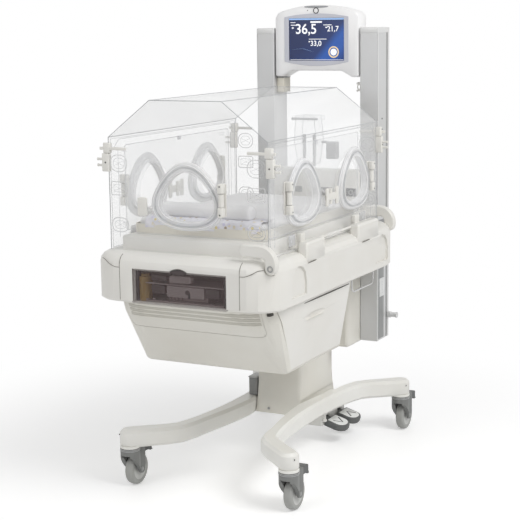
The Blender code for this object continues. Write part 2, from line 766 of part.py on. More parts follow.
SLEEVE_REAR_Y = SLEEVE_FRONT_Y + SLEEVE_LENGTH_Y
BRIDGE_LOW = (-BRIDGE_HALF_X, SLEEVE_FRONT_Y + BRIDGE_INSET_Y, BRIDGE_BOTTOM_Z)
BRIDGE_HIGH = (BRIDGE_HALF_X, SLEEVE_REAR_Y - BRIDGE_INSET_Y, BRIDGE_BOTTOM_Z + BRIDGE_HEIGHT)
CASTER_PLACES = {
    "fl": (-CASTER_HALF_SPAN_X, BASE_CENTRE_Y - CASTER_HALF_SPAN_Y),
    "fr": (CASTER_HALF_SPAN_X, BASE_CENTRE_Y - CASTER_HALF_SPAN_Y),
    "rl": (-CASTER_HALF_SPAN_X, BASE_CENTRE_Y + CASTER_HALF_SPAN_Y),
    "rr": (CASTER_HALF_SPAN_X, BASE_CENTRE_Y + CASTER_HALF_SPAN_Y),
}
COLLAR_BOTTOM_Z = BEAM_BOTTOM_Z - COLLAR_HEIGHT
FORK_TOP_Z = COLLAR_BOTTOM_Z - GAP


def make_base_frame():
    frame = join(beam(-1), beam(1), block(BRIDGE_LOW, BRIDGE_HIGH))
    for x, y in CASTER_PLACES.values():
        collar = rod((x, y, 0), COLLAR_RADIUS, COLLAR_BOTTOM_Z, BEAM_BOTTOM_Z + COLLAR_HEIGHT, "z")
        socket_top = FORK_TOP_Z + STEM_LENGTH + RUN
        socket = rod((x, y, 0), STEM_RADIUS + PIN_FIT, FORK_TOP_Z - OVERRUN, socket_top, "z")
        frame = cut(join(frame, collar), socket)
    return finish(frame, "base_frame", BEAM_WHITE)


def make_column_sleeve():
    """The flared cover of the lifting column, open at the top and notched over the bridge."""
    rings = []
    levels = [(SLEEVE_BOTTOM_Z + SLEEVE_FLARE_HEIGHT * a, SLEEVE_FLARE * b) for a, b in FLARE_SHARES]
    for z, flare in [*levels, (SLEEVE_TOP_Z, 0)]:
        low = (-SLEEVE_HALF_X - flare / 2, SLEEVE_FRONT_Y - flare)
        high = (SLEEVE_HALF_X + flare / 2, SLEEVE_REAR_Y + flare)
        rings.append([(x, y, z) for x, y in round_box(low, high, SLEEVE_CORNER, 2)])
    low = (-SLEEVE_HALF_X + SLEEVE_WALL, SLEEVE_FRONT_Y + SLEEVE_WALL, SLEEVE_BOTTOM_Z - OVERRUN)
    high = (SLEEVE_HALF_X - SLEEVE_WALL, SLEEVE_REAR_Y - SLEEVE_WALL, SLEEVE_TOP_Z + OVERRUN)
    notch_low = (BRIDGE_LOW[0] * 2, BRIDGE_LOW[1] - GAP, BRIDGE_LOW[2] - OVERRUN)
    notch_high = (BRIDGE_HIGH[0] * 2, BRIDGE_HIGH[1] + GAP, BRIDGE_HIGH[2] + GAP)
    sleeve = cut(loft(rings), block(low, high), block(notch_low, notch_high))
    beam_inner = CASTER_HALF_SPAN_X * BEAM_PATH_SHARES[-1][0] - BEAM_MIDDLE_WIDTH / 2
    beam_top = BEAM_BOTTOM_Z + BEAM_HEIGHT
    for side in (-1, 1):
        edge = side * (beam_inner - GAP)
        away = side * (beam_inner + BEAM_MIDDLE_WIDTH)
        low = (min(edge, away), SLEEVE_FRONT_Y - SLEEVE_FLARE * 2, SLEEVE_BOTTOM_Z - OVERRUN)
        high = (max(edge, away), SLEEVE_REAR_Y + SLEEVE_FLARE * 2, beam_top + GAP)
        sleeve = cut(sleeve, block(low, high))
    return finish(sleeve, "column_sleeve", IVORY)


def make_lift_column():
    """The inner column with the flange that carries the tray; it slides in the sleeve."""
    half_x = SLEEVE_HALF_X - SLEEVE_WALL - RUN
    front = SLEEVE_FRONT_Y + SLEEVE_WALL + RUN
    rear = SLEEVE_REAR_Y - SLEEVE_WALL - RUN
    top = TRAY_BOTTOM_Z - GAP
    post = block((-half_x, front, SLEEVE_TOP_Z - COLUMN_OVERLAP), (half_x, rear, top), RUN * 3, 1)
    low = (-half_x - FLANGE_MARGIN, front - FLANGE_MARGIN, top - FLANGE_THICKNESS)
    high = (half_x + FLANGE_MARGIN, REAR_HOUSING_FRONT_Y - GAP, top)
    return finish(join(post, block(low, high)), "lift_column", STEEL, pivot=(0, front, SLEEVE_TOP_Z))


# Casters

def caster_fork():
    """The shroud: a side outline and a plan outline crossed, with the wheel's slot cut out."""
    axle = (CASTER_TRAIL, WHEEL_DIAMETER / 2)
    radius = SHROUD_RADIUS
    arch = FORK_TOP_Z - SHROUD_ARCH_DROP
    side = [(SHROUD_REAR, FORK_TOP_Z), (-radius, FORK_TOP_Z), (-radius, arch),
            (-radius * SHROUD_ARCH_SHARE, arch)]
    side += arc(axle, AXLE_BOSS_RADIUS, 205, 360, 6)
    side += [(SHROUD_REAR, axle[1] + AXLE_BOSS_RADIUS)]
    plan = arc((0, 0), radius, 130, 410, 16)
    plan += [(SHROUD_REAR_HALF_X, SHROUD_REAR), (-SHROUD_REAR_HALF_X, SHROUD_REAR)]
    reach = radius + OVERRUN
    fork = common(slab(side, "x", -reach, reach), slab(plan, "z", 0, FORK_TOP_Z + OVERRUN))
    slot = WHEEL_WIDTH / 2 + WHEEL_SIDE_ROOM
    slot_top = WHEEL_DIAMETER + WHEEL_HEADROOM
    hub_top = FORK_TOP_Z - LEVER_PIVOT_DROP + LEVER_HUB_RADIUS + LEVER_TOP_DROP
    hub_front = LEVER_PIVOT_Y - LEVER_HUB_RADIUS * 2
    opening = block((-slot, -reach, -OVERRUN), (slot, SHROUD_REAR + OVERRUN, slot_top))
    upper = block((-slot, hub_front, slot_top - OVERRUN), (slot, SHROUD_REAR + OVERRUN, hub_top))
    front_wall = block((-slot, -reach - OVERRUN, 0), (slot, -radius + SHROUD_WALL, slot_top))
    fork = cut(fork, join(opening, upper), front_wall)
    grip = slot + SHROUD_WALL / 2
    pin = rod((0, axle[0], axle[1]), AXLE_RADIUS, -grip, grip, "x", 16)
    lever_pin = rod((0, LEVER_PIVOT_Y, FORK_TOP_Z - LEVER_PIVOT_DROP), LEVER_PIN_RADIUS, -grip, grip, "x", 12)
    stem = rod((0, 0, 0), STEM_RADIUS, slot_top + WHEEL_HEADROOM, FORK_TOP_Z + STEM_LENGTH, "z", ROUND_STEPS)
    return join(fork, pin, lever_pin, stem)


def caster_wheel():
    """Tyre, dished disc and hub, bored for the axle; turned round Z, then laid along X."""
    half = WHEEL_WIDTH / 2
    radius = WHEEL_DIAMETER / 2
    bore = AXLE_RADIUS + PIN_FIT
    face = [(bore, half), (WHEEL_HUB_RADIUS, half), (WHEEL_RIM_RADIUS, half - WHEEL_DISH),
            (WHEEL_RIM_RADIUS, half), (radius - WHEEL_CROWN, half), (radius, half - WHEEL_CROWN * 2)]
    profile = face + [(r, -z) for r, z in reversed(face)] + [face[0]]
    return moved(turned(profile, WHEEL_STEPS), TURN_TO_AXIS["x"])


def brake_lever():
    """The foot lever: a bored hub between the cheeks and a wider paddle with a tooth behind it."""
    pivot = (LEVER_PIVOT_Y, FORK_TOP_Z - LEVER_PIVOT_DROP)
    start = SHROUD_REAR + LEVER_ROOM
    end = SHROUD_REAR + LEVER_REACH
    top = FORK_TOP_Z - LEVER_TOP_DROP
    low = top - LEVER_HEIGHT
    tooth = LEVER_TOOTH
    neck = arc(pivot, LEVER_HUB_RADIUS, 90, 270, 5)
    neck += [(start + tooth, pivot[1] - LEVER_HUB_RADIUS), (start + tooth, pivot[1] + LEVER_HUB_RADIUS)]
    hub = slab(neck, "x", -WHEEL_WIDTH / 2, WHEEL_WIDTH / 2)
    paddle = [(start, top), (start, low), (end - tooth * 2, low), (end - tooth, low - tooth)]
    paddle += [(end + tooth, low - tooth), (end, low + tooth / 2)]
    paddle += [(end, top - tooth / 2), (end - tooth / 2, top)]
    lever = join(slab(paddle, "x", -LEVER_HALF_WIDTH, LEVER_HALF_WIDTH), hub)
    bore = LEVER_PIN_RADIUS + PIN_FIT
    return cut(lever, rod((0, *pivot), bore, -LEVER_HALF_WIDTH * 2, LEVER_HALF_WIDTH * 2, "x", 12))


def make_casters():
    masters = {"fork": caster_fork(), "wheel": caster_wheel(), "brake": brake_lever()}
    lever_z = FORK_TOP_Z - LEVER_PIVOT_DROP
    for corner, (x, y) in CASTER_PLACES.items():
        fork = finish(moved(twin(masters["fork"]), Matrix.Translation((x, y, 0))),
                      "caster_" + corner + "_fork", MID_GREY, pivot=(x, y, FORK_TOP_Z))
        axle = (x, y + CASTER_TRAIL, WHEEL_DIAMETER / 2)
        finish(moved(twin(masters["wheel"]), Matrix.Translation(axle)),
               "caster_" + corner + "_wheel", WHEEL_GREY, pivot=axle, parent=fork)
        finish(moved(twin(masters["brake"]), Matrix.Translation((x, y, 0))),
               "caster_" + corner + "_brake", MID_GREY, pivot=(x, y + LEVER_PIVOT_Y, lever_z), parent=fork)
    for item in masters.values():
        bpy.data.objects.remove(item, do_unlink=True)


# Foot pedals

PEDAL_AXIS_Z = PEDAL_TOP_Z - PEDAL_THICKNESS / 2
PEDAL_PLACES_Y = {"down": PEDAL_FIRST_Y, "up": PEDAL_FIRST_Y + PEDAL_PITCH}


def make_pedals():
    """Two D-shaped pedals, each with a lug on a pin in a slot of the housing."""
    half = PEDAL_WIDTH / 2
    front = PEDAL_FIRST_Y - half - PEDAL_HOUSING_MARGIN
    rear = PEDAL_FIRST_Y + PEDAL_PITCH + half + PEDAL_HOUSING_MARGIN
    face = PEDAL_ROOT_X - PEDAL_HOUSING_MARGIN
    housing = block((PEDAL_HOUSING_X, front, PEDAL_HOUSING_BOTTOM_Z),
                    (face, rear, BRIDGE_BOTTOM_Z - GAP), PEDAL_ROUNDING)
    slot_back = PEDAL_HINGE_X - PEDAL_LUG_HEIGHT
    for y in PEDAL_PLACES_Y.values():
        wide = PEDAL_LUG_WIDTH / 2 + RUN
        tall = PEDAL_LUG_HEIGHT / 2 + PEDAL_SLOT_ROOM
        slot = block((slot_back, y - wide, PEDAL_AXIS_Z - tall),
                     (face + OVERRUN, y + wide, PEDAL_AXIS_Z + tall))
        grip = wide + PEDAL_PIN_RADIUS
        pin = rod((PEDAL_HINGE_X, 0, PEDAL_AXIS_Z), PEDAL_PIN_RADIUS, y - grip, y + grip, "y", 12)
        housing = join(cut(housing, slot), pin)
    housing = finish(housing, "pedal_housing", MID_GREY)
    for name, y in PEDAL_PLACES_Y.items():
        outline = [(PEDAL_ROOT_X, y + half), (PEDAL_ROOT_X, y - half)]
        tip = PEDAL_WIDTH * PEDAL_TIP_SHARE
        outline += [(PEDAL_TIP_X - tip + tip * math.cos(turn), y + half * math.sin(turn))
                    for turn in (math.radians(-90 + 22.5 * i) for i in range(9))]
        plate = slab(outline, "z", PEDAL_TOP_Z - PEDAL_THICKNESS, PEDAL_TOP_Z, PEDAL_ROUNDING)
        reach = PEDAL_LUG_HEIGHT / 2
        nose = arc((PEDAL_HINGE_X, PEDAL_AXIS_Z), reach, 90, 270, 5)
        nose += [(PEDAL_ROOT_X + reach, PEDAL_AXIS_Z - reach), (PEDAL_ROOT_X + reach, PEDAL_AXIS_Z + reach)]
        lug = slab(nose, "y", y - PEDAL_LUG_WIDTH / 2, y + PEDAL_LUG_WIDTH / 2)
        bore = rod((PEDAL_HINGE_X, 0, PEDAL_AXIS_Z), PEDAL_PIN_RADIUS + PIN_FIT,
                   y - PEDAL_WIDTH, y + PEDAL_WIDTH, "y", 12)
        hinge = Matrix.Translation((PEDAL_HINGE_X, 0, PEDAL_AXIS_Z))
        droop = hinge @ Matrix.Rotation(math.radians(PEDAL_DROOP_DEGREES), 4, "Y") @ hinge.inverted()
        pedal = moved(cut(join(plate, lug), bore), droop)
        finish(pedal, "pedal_" + name, DARK_RUBBER, pivot=(PEDAL_HINGE_X, y, PEDAL_AXIS_Z), parent=housing)


# Belly and its drawers

def belly_share(z):
    return (z - BELLY_BOTTOM_Z) / (TRAY_BOTTOM_Z - BELLY_BOTTOM_Z)


def belly_front(z):
    return BELLY_BOTTOM_FRONT_Y + (BELLY_TOP_FRONT_Y - BELLY_BOTTOM_FRONT_Y) * belly_share(z)


def belly_rear(z):
    return BELLY_BOTTOM_REAR_Y + (BELLY_TOP_REAR_Y - BELLY_BOTTOM_REAR_Y) * belly_share(z)


def belly_side(z):
    return BELLY_BOTTOM_HALF_X + (BELLY_TOP_HALF_X - BELLY_BOTTOM_HALF_X) * belly_share(z)


def belly_corner(z):
    """Radius of the near corners: tight at the foot, wide at the top, where the face is bowed."""
    if z < BELLY_WAIST_Z:
        share = (z - BELLY_BOTTOM_Z) / (BELLY_WAIST_Z - BELLY_BOTTOM_Z)
        return BELLY_FOOT_CORNER + (BELLY_WAIST_CORNER - BELLY_FOOT_CORNER) * share
    share = (z - BELLY_WAIST_Z) / BELLY_WAIST_DROP
    return BELLY_WAIST_CORNER + (BELLY_TOP_CORNER - BELLY_WAIST_CORNER) * share


def belly_form(skin=0.0, top=TRAY_BOTTOM_Z - GAP):
    """The boat shape: round-cornered sections that shrink towards a rounded foot, skin metres inside."""
    rings = []
    foot = BELLY_FOOT_ROUNDING
    for z, rounding in ((BELLY_BOTTOM_Z, foot), (BELLY_BOTTOM_Z + foot / 3, foot / 3),
                        (BELLY_BOTTOM_Z + foot, 0), (BELLY_WAIST_Z, 0), (top, 0)):
        inset = skin + rounding
        low = (-belly_side(z) + inset, belly_front(z) + inset)
        high = (belly_side(z) - inset, belly_rear(z) - inset)
        corners = round_box(low, high, belly_corner(z) - inset, BELLY_CORNER_STEPS, BELLY_REAR_CORNER - inset)
        rings.append([(x, y, z) for x, y in corners])
    return loft(rings)


def belly_core(skin):
    """The inside of the belly, skin metres in from its wall and taller than any drawer."""
    return belly_form(skin, TRAY_BOTTOM_Z + OVERRUN * 2)


def front_face_cutter(room):
    """The region of the front drawer's face: its outline, outside the belly's core."""
    bottom = FRONT_DRAWER_BOTTOM_Z - room
    top = TRAY_BOTTOM_Z - DRAWER_HEADROOM + (OVERRUN if room else 0)
    half = FRONT_DRAWER_HALF_X + room
    corner = FRONT_DRAWER_CORNER
    face = arc((half - corner, bottom + corner), corner, -90, 0) + [(half, top), (-half, top)]
    face += arc((-half + corner, bottom + corner), corner, 180, 270)
    reach = BELLY_BOTTOM_FRONT_Y + OVERRUN
    return cut(slab(face, "y", -reach, reach), belly_core(DRAWER_SKIN + room))


def front_tub(wall, room):
    """The front drawer's tub: its near end follows the face."""
    low = FRONT_DRAWER_BOTTOM_Z + FRONT_TUB_RISE + wall - room
    high = FRONT_DRAWER_BOTTOM_Z + FRONT_TUB_RISE + FRONT_TUB_HEIGHT + room
    if wall:
        high += OVERRUN
    near = DRAWER_SKIN if wall else DRAWER_SKIN / 2
    rear = belly_front(FRONT_DRAWER_BOTTOM_Z) + FRONT_TUB_LENGTH - wall + room
    side = [(belly_front(low), low), (rear, low), (rear, high), (belly_front(high), high)]
    half = FRONT_TUB_HALF_X - wall + room
    return common(slab(side, "x", -half, half), belly_core(near))


def side_face_cutter(room):
    """The region of the side drawer's face: its outline on the right, outside the belly's core."""
    bottom = BELLY_BOTTOM_Z + SIDE_DRAWER_BOTTOM_RISE - room
    top = TRAY_BOTTOM_Z - DRAWER_HEADROOM + (OVERRUN if room else 0)
    rear = SIDE_DRAWER_REAR_INSET - room
    side = [(belly_front(bottom) + SIDE_DRAWER_FOOT_INSET - room, bottom),
            (belly_rear(bottom) - rear, bottom), (belly_rear(top) - rear, top),
            (belly_front(top) + SIDE_DRAWER_TOP_INSET - room, top)]
    outline = slab(side, "x", FRONT_TUB_HALF_X, BELLY_TOP_HALF_X + OVERRUN * 2)
    return cut(outline, belly_core(DRAWER_SKIN + room))


def side_tub(wall, room):
    """The side drawer's tub, low in the belly and within the outline of its face."""
    bottom = BELLY_BOTTOM_Z + SIDE_DRAWER_BOTTOM_RISE
    low = bottom + SIDE_TUB_RISE + wall - room
    high = bottom + SIDE_TUB_RISE + SIDE_TUB_HEIGHT + room
    if wall:
        high += OVERRUN
    near = DRAWER_SKIN if wall else DRAWER_SKIN / 2
    outer = belly_side(bottom)
    end = outer - SIDE_TUB_LENGTH_X + wall - room
    face = [(end, low), (belly_side(low) - near, low), (belly_side(high) - near, high), (end, high)]
    front = belly_front(bottom) + SIDE_TUB_FRONT_INSET + wall - room
    rear = belly_rear(bottom) - SIDE_TUB_REAR_INSET - wall + room
    return slab(face, "y", front, rear)


def side_grip():
    """The crescent scoop in the side drawer's face."""
    work = bmesh.new()
    bmesh.ops.create_uvsphere(work, u_segments=16, v_segments=10, radius=1)
    half = (SIDE_GRIP_DEPTH, SIDE_GRIP_LENGTH / 2, SIDE_GRIP_HEIGHT / 2)
    bmesh.ops.scale(work, vec=half, verts=work.verts)
    place_at = (belly_side(SIDE_GRIP_Z), SIDE_GRIP_Y, SIDE_GRIP_Z)
    bmesh.ops.translate(work, vec=place_at, verts=work.verts)
    mesh = bpy.data.meshes.new("grip")
    work.to_mesh(mesh)
    work.free()
    return show(mesh)


def make_belly():
    belly = cut(belly_form(), front_face_cutter(DRAWER_ROOM), front_tub(0, DRAWER_ROOM),
                side_face_cutter(DRAWER_ROOM), side_tub(0, DRAWER_ROOM))
    belly = finish(belly, "belly_housing", IVORY)
    front = common(belly_form(), front_face_cutter(0))
    front = cut(join(front, front_tub(0, 0)), front_tub(DRAWER_WALL, 0))
    pivot = (0, belly_front(FRONT_DRAWER_BOTTOM_Z), FRONT_DRAWER_BOTTOM_Z)
    finish(front, "front_drawer", IVORY, pivot=pivot, parent=belly)
    side = common(belly_form(), side_face_cutter(0))
    side = cut(join(side, side_tub(0, 0)), side_tub(DRAWER_WALL, 0), side_grip())
    pivot = (belly_side(SIDE_GRIP_Z), SIDE_GRIP_Y, SIDE_GRIP_Z)
    finish(side, "side_drawer", WARM_WHITE, pivot=pivot, parent=belly)
    return belly


# Body tray and the humidifier bay

DOOR_BACK_Y = TRAY_FRONT_Y + DOOR_THICKNESS
DOOR_AXIS = (0, TRAY_FRONT_Y + DOOR_THICKNESS / 2, TRAY_BOTTOM_Z + DOOR_PIVOT_RISE)
DECK_FRONT_Y = DECK_INSET_Y
DECK_REAR_Y = HOOD_LENGTH - DECK_INSET_Y


def tray_form():
    """Round-cornered sections: a small lip at the foot and an elliptic shoulder at the top."""
    levels = [(TRAY_BOTTOM_Z, TRAY_LIP), (TRAY_BOTTOM_Z + TRAY_LIP_HEIGHT, 0)]
    for i in range(5):
        angle = math.radians(90) * i / 4
        z = TRAY_TOP_Z - TRAY_SHOULDER_DROP * (1 - math.sin(angle))
        levels.append((z, TRAY_SHOULDER_RUN * (1 - math.cos(angle))))
    rings = []
    for z, inset in levels:
        low = (-TRAY_HALF_X + inset, TRAY_FRONT_Y + inset)
        high = (TRAY_HALF_X - inset, TRAY_REAR_Y - inset)
        rings.append([(x, y, z) for x, y in round_box(low, high, TRAY_CORNER - inset)])
    return loft(rings)


def door_outline(room):
    """The humidifier door: a rectangle with a round finger tab in the middle of its top edge."""
    half = DOOR_HALF_X + room
    tab = DOOR_TAB_HALF_X + room
    rise = DOOR_TAB_RISE
    top = DOOR_TOP_Z + room
    radius = (tab * tab + rise * rise) / (2 * rise)
    spread = math.degrees(math.asin(tab / radius))
    bump = arc((0, top + rise - radius), radius, 90 - spread, 90 + spread, 8)
    bottom = TRAY_BOTTOM_Z + GAP - room
    return [(half, bottom), (half, top), *bump, (-half, top), (-half, bottom)]


def lever_niche(centre_y, outward):
    """The flat seat of a tilt lever's boss in the tray's corner."""
    radius = TILT_BOSS_RADIUS + TILT_NICHE_ROOM
    seat = TILT_SEATS_Y[outward]
    away = centre_y + outward * TRAY_CORNER
    return rod((LEVER_PIVOT_X, 0, TILT_PIVOT_Z), radius, min(seat, away), max(seat, away), "y", 16)


TRAY_MIDDLE_Y = (TRAY_FRONT_Y + TRAY_REAR_Y) / 2
TILT_SEATS_Y = {
    -1: TILT_LEVER_FRONT_Y + TILT_LEVER_THICKNESS + GAP,
    1: 2 * TRAY_MIDDLE_Y - (TILT_LEVER_FRONT_Y + TILT_LEVER_THICKNESS + GAP),
}


def recess_outline(centre):
    """An arch-topped finger recess in the tray's side."""
    half = RECESS_WIDTH / 2
    bottom = RECESS_TOP_Z - RECESS_HEIGHT
    crown = arc((centre, RECESS_TOP_Z - half), half, 0, 180, 6)
    return [(centre - half, bottom), (centre + half, bottom), *crown]


def make_tray():
    deck = block((-DECK_HALF_X, DECK_FRONT_Y, TRAY_TOP_Z - TRAY_SHOULDER_DROP / 4),
                 (DECK_HALF_X, DECK_REAR_Y, DECK_TOP_Z), DECK_ROUNDING)
    tray = join(tray_form(), deck)
    for side in (-1, 1):
        for start, end in PAD_SPANS_Y:
            inner, outer = sorted((side * PAD_INNER_X, side * PAD_OUTER_X))
            pad = block((inner, start, PAD_BOTTOM_Z), (outer, end, PAD_TOP_Z), PAD_ROUNDING, 1)
            tray = join(tray, pad)
        centre = (side * PANEL_HINGE_X, 0, PANEL_HINGE_Z)
        low = PAD_SPANS_Y[0][1] - PAD_ROUNDING * 2
        high = PAD_SPANS_Y[1][0] + PAD_ROUNDING * 2
        tray = join(tray, rod(centre, PANEL_ROD_RADIUS, low, high, "y", 12))
        for centre_y in RECESS_CENTRES_Y:
            inner, outer = sorted((side * (TRAY_HALF_X - RECESS_DEPTH), side * (TRAY_HALF_X + OVERRUN)))
            tray = cut(tray, slab(recess_outline(centre_y), "x", inner, outer))
    wall = DOOR_BACK_Y + DOOR_SWING_ROOM
    bay_low = (-BAY_HALF_X, TRAY_FRONT_Y - OVERRUN, BAY_FLOOR_Z)
    bay_high = (BAY_HALF_X, TRAY_FRONT_Y + BAY_DEPTH, BAY_FLOOR_Z + BAY_HEIGHT)
    seat = slab(door_outline(DOOR_SIDE_ROOM), "y", TRAY_FRONT_Y - OVERRUN, wall)
    foot = block((-DOOR_HALF_X - DOOR_SIDE_ROOM, TRAY_FRONT_Y - OVERRUN, TRAY_BOTTOM_Z - OVERRUN),
                 (DOOR_HALF_X + DOOR_SIDE_ROOM, wall, TRAY_BOTTOM_Z + TRAY_LIP_HEIGHT))
    tray = cut(tray, join(block(bay_low, bay_high), seat, foot))
    reach = DOOR_HALF_X + DOOR_PIN_LENGTH + RUN
    tray = cut(tray, rod(DOOR_AXIS, DOOR_PIN_RADIUS + PIN_FIT, -reach, reach, "x", 12))
    tray = cut(tray, lever_niche(TRAY_FRONT_Y, -1), lever_niche(TRAY_REAR_Y, 1))
    tray = finish(tray, "tray_housing", WARM_WHITE)
    door = slab(door_outline(0), "y", TRAY_FRONT_Y, DOOR_BACK_Y)
    pin = rod(DOOR_AXIS, DOOR_PIN_RADIUS, -reach + RUN, reach - RUN, "x", 12)
    finish(join(door, pin), "humidifier_door", SMOKE, pivot=DOOR_AXIS, parent=tray)
    return tray


def make_humidifier(tray):
    """What shows through the door: reservoir, shelf with its heater block, filter cover and knob."""
    wall = DOOR_BACK_Y + DOOR_SWING_ROOM
    floor = BAY_FLOOR_Z + GAP
    y = wall + RESERVOIR_SETBACK - DOOR_THICKNESS
    can = rod((RESERVOIR_X, y, 0), RESERVOIR_RADIUS, floor, floor + RESERVOIR_HEIGHT, "z")
    cap_low = floor + RESERVOIR_HEIGHT - RUN
    cap = rod((RESERVOIR_X, y, 0), RESERVOIR_CAP_RADIUS, cap_low, cap_low + RESERVOIR_CAP_HEIGHT, "z")
    finish(join(can, cap), "water_reservoir", AMBER, parent=tray)
    half = BAY_HALF_X - GAP
    low = floor + SHELF_RISE
    front = wall + SHELF_SETBACK
    shelf = block((-half, front, low), (half, front + SHELF_DEPTH, low + SHELF_THICKNESS))
    heater = block((HEATER_X - HEATER_HALF_X, front + SHELF_SETBACK, low),
                   (HEATER_X + HEATER_HALF_X, front + SHELF_DEPTH / 2, low + HEATER_HEIGHT), SHELF_THICKNESS)
    hole = rod((RESERVOIR_X, y, 0), RESERVOIR_RADIUS + RUN, low - OVERRUN, low + OVERRUN, "z")
    finish(cut(join(shelf, heater), hole), "chamber_shelf", MAUVE, parent=tray)
    front = wall + FILTER_SETBACK - SHELF_SETBACK
    cover = block((FILTER_LOW_X, front, floor),
                  (FILTER_HIGH_X, front + FILTER_DEPTH, floor + FILTER_HEIGHT), SHELF_THICKNESS)
    pitch = (KNOB_X - KNOB_RADIUS * 2 - FILTER_LOW_X) / FILTER_RIBS
    for i in range(FILTER_RIBS):
        start = FILTER_LOW_X + pitch * (i + FILTER_RIB_SHARE)
        groove = block((start, front - OVERRUN, floor + FILTER_RIB_DEPTH * 2),
                       (start + pitch * FILTER_RIB_SHARE, front + FILTER_RIB_DEPTH,
                        floor + FILTER_HEIGHT - FILTER_RIB_DEPTH * 2))
        cover = cut(cover, groove)
    finish(cover, "filter_cover", MAUVE, parent=tray)
    centre = (KNOB_X, 0, floor + KNOB_RISE)
    face = front - GAP
    knob = rod(centre, KNOB_RADIUS, face - KNOB_LENGTH / 2, face, "y")
    grip = KNOB_RADIUS * KNOB_GRIP_SHARE
    bar = block((KNOB_X - grip, face - KNOB_LENGTH, centre[2] - KNOB_RADIUS + RUN),
                (KNOB_X + grip, face - RUN, centre[2] + KNOB_RADIUS - RUN), RUN * 2, 1)
    finish(join(knob, bar), "filter_knob", DARK_RUBBER, pivot=(KNOB_X, face, centre[2]), parent=tray)


def tilt_lever_outline():
    """An arched lever in XZ: a round boss at the pivot and a flat band that reaches inwards."""
    band = TILT_LEVER_BAND
    outer = TILT_LEVER_OUTER_X
    top = TILT_LEVER_TOP_Z
    bend = top - TILT_PIVOT_Z - TILT_BOSS_RADIUS / 2
    points = arc((TILT_LEVER_TIP_X + band / 4, top - band / 4), band / 4, 90, 180, 3)
    points += arc((TILT_LEVER_TIP_X + band / 4, top - band * 3 / 4), band / 4, 180, 270, 3)
    inner = LEVER_PIVOT_X - TILT_BOSS_RADIUS
    points += arc((inner - band / 3, top - band - band / 3), band / 3, 90, 0, 3)
    points += arc((LEVER_PIVOT_X, TILT_PIVOT_Z), TILT_BOSS_RADIUS, 180, 360, 10)
    points += [(outer, TILT_PIVOT_Z + TILT_BOSS_RADIUS / 2)]
    points += arc((outer - bend, top - bend), bend, 0, 90, 6)
    return points


def make_tilt_levers(tray):
    outline = tilt_lever_outline()
    for name, side in (("front", -1), ("rear", 1)):
        seat = TILT_SEATS_Y[side] + side * GAP
        low, high = sorted((seat, seat + side * TILT_LEVER_THICKNESS))
        lever = slab(outline, "y", low, high, TILT_LEVER_ROUNDING, segments=1)
        pivot = (LEVER_PIVOT_X, seat, TILT_PIVOT_Z)
        finish(lever, "tilt_lever_" + name, WARM_WHITE, pivot=pivot, parent=tray)


# Bed

CARRIER_BOTTOM_Z = DECK_TOP_Z + GAP
BED_TRAY_BOTTOM_Z = CARRIER_BOTTOM_Z + CARRIER_THICKNESS + GAP
MATTRESS_BOTTOM_Z = BED_TRAY_BOTTOM_Z + BED_TRAY_FLOOR + GAP
MATTRESS_TOP_Z = MATTRESS_BOTTOM_Z + MATTRESS_HEIGHT
BED_REAR_Y = BED_FRONT_Y + BED_LENGTH


def make_bed(tray):
    half = BED_HALF_X
    corner = BED_TRAY_CORNER
    outer = round_box((-half, BED_FRONT_Y), (half, BED_REAR_Y), corner)
    carrier = slab(outer, "z", CARRIER_BOTTOM_Z, CARRIER_BOTTOM_Z + CARRIER_THICKNESS)
    pivot = (0, BED_FRONT_Y, CARRIER_BOTTOM_Z)
    carrier = finish(carrier, "bed_carrier", WARM_WHITE, pivot=pivot, parent=tray)
    wall = BED_TRAY_WALL
    inner = round_box((-half + wall, BED_FRONT_Y + wall), (half - wall, BED_REAR_Y - wall), corner - wall)
    top = BED_TRAY_BOTTOM_Z + BED_TRAY_HEIGHT
    pan = cut(slab(outer, "z", BED_TRAY_BOTTOM_Z, top),
              slab(inner, "z", BED_TRAY_BOTTOM_Z + BED_TRAY_FLOOR, top + OVERRUN))
    pivot = (0, BED_REAR_Y, BED_TRAY_BOTTOM_Z)
    pan = finish(pan, "mattress_tray", CREAM, pivot=pivot, parent=carrier)
    fit = wall + GAP
    pad = round_box((-half + fit, BED_FRONT_Y + fit), (half - fit, BED_REAR_Y - fit), corner - fit)
    mattress = slab(pad, "z", MATTRESS_BOTTOM_Z, MATTRESS_TOP_Z, MATTRESS_ROUNDING)
    finish(mattress, "mattress", LINEN, parent=pan)
    radius = BOLSTER_RADIUS
    y = BED_FRONT_Y + fit + BOLSTER_SETBACK
    bed = MATTRESS_TOP_Z + GAP
    roll = arc((y, bed + radius * 2 / 3), radius, -41, 221, 12)
    roll = [(a, max(b, bed)) for a, b in roll]
    bolster = slab(roll, "x", -BOLSTER_HALF_LENGTH, BOLSTER_HALF_LENGTH, radius / 5, segments=1)
    finish(bolster, "bolster", LINEN, parent=pan)


# Hood, access panels and inner walls

HOOD_FOOT_Z = TRAY_TOP_Z + GAP
PANEL_TOP_Z = HOOD_SHOULDER_Z - HOOD_EAVE - PANEL_ROOM


def hood_outline(inset):
    """The six-sided section; the inset moves its lines in by their own distance."""
    slope = math.atan2(HOOD_ROOF_Z - HOOD_SHOULDER_Z, HOOD_HALF_X - HOOD_ROOF_HALF_X)
    half = HOOD_HALF_X - inset
    roof = HOOD_ROOF_Z - inset
    ridge = HOOD_ROOF_HALF_X - inset * math.tan(slope / 2)
    shoulder = roof - (half - ridge) * math.tan(slope)
    foot = HOOD_FOOT_Z if inset == 0 else HOOD_FOOT_Z - OVERRUN
    return [(half, foot), (half, shoulder), (ridge, roof), (-ridge, roof), (-half, shoulder), (-half, foot)]


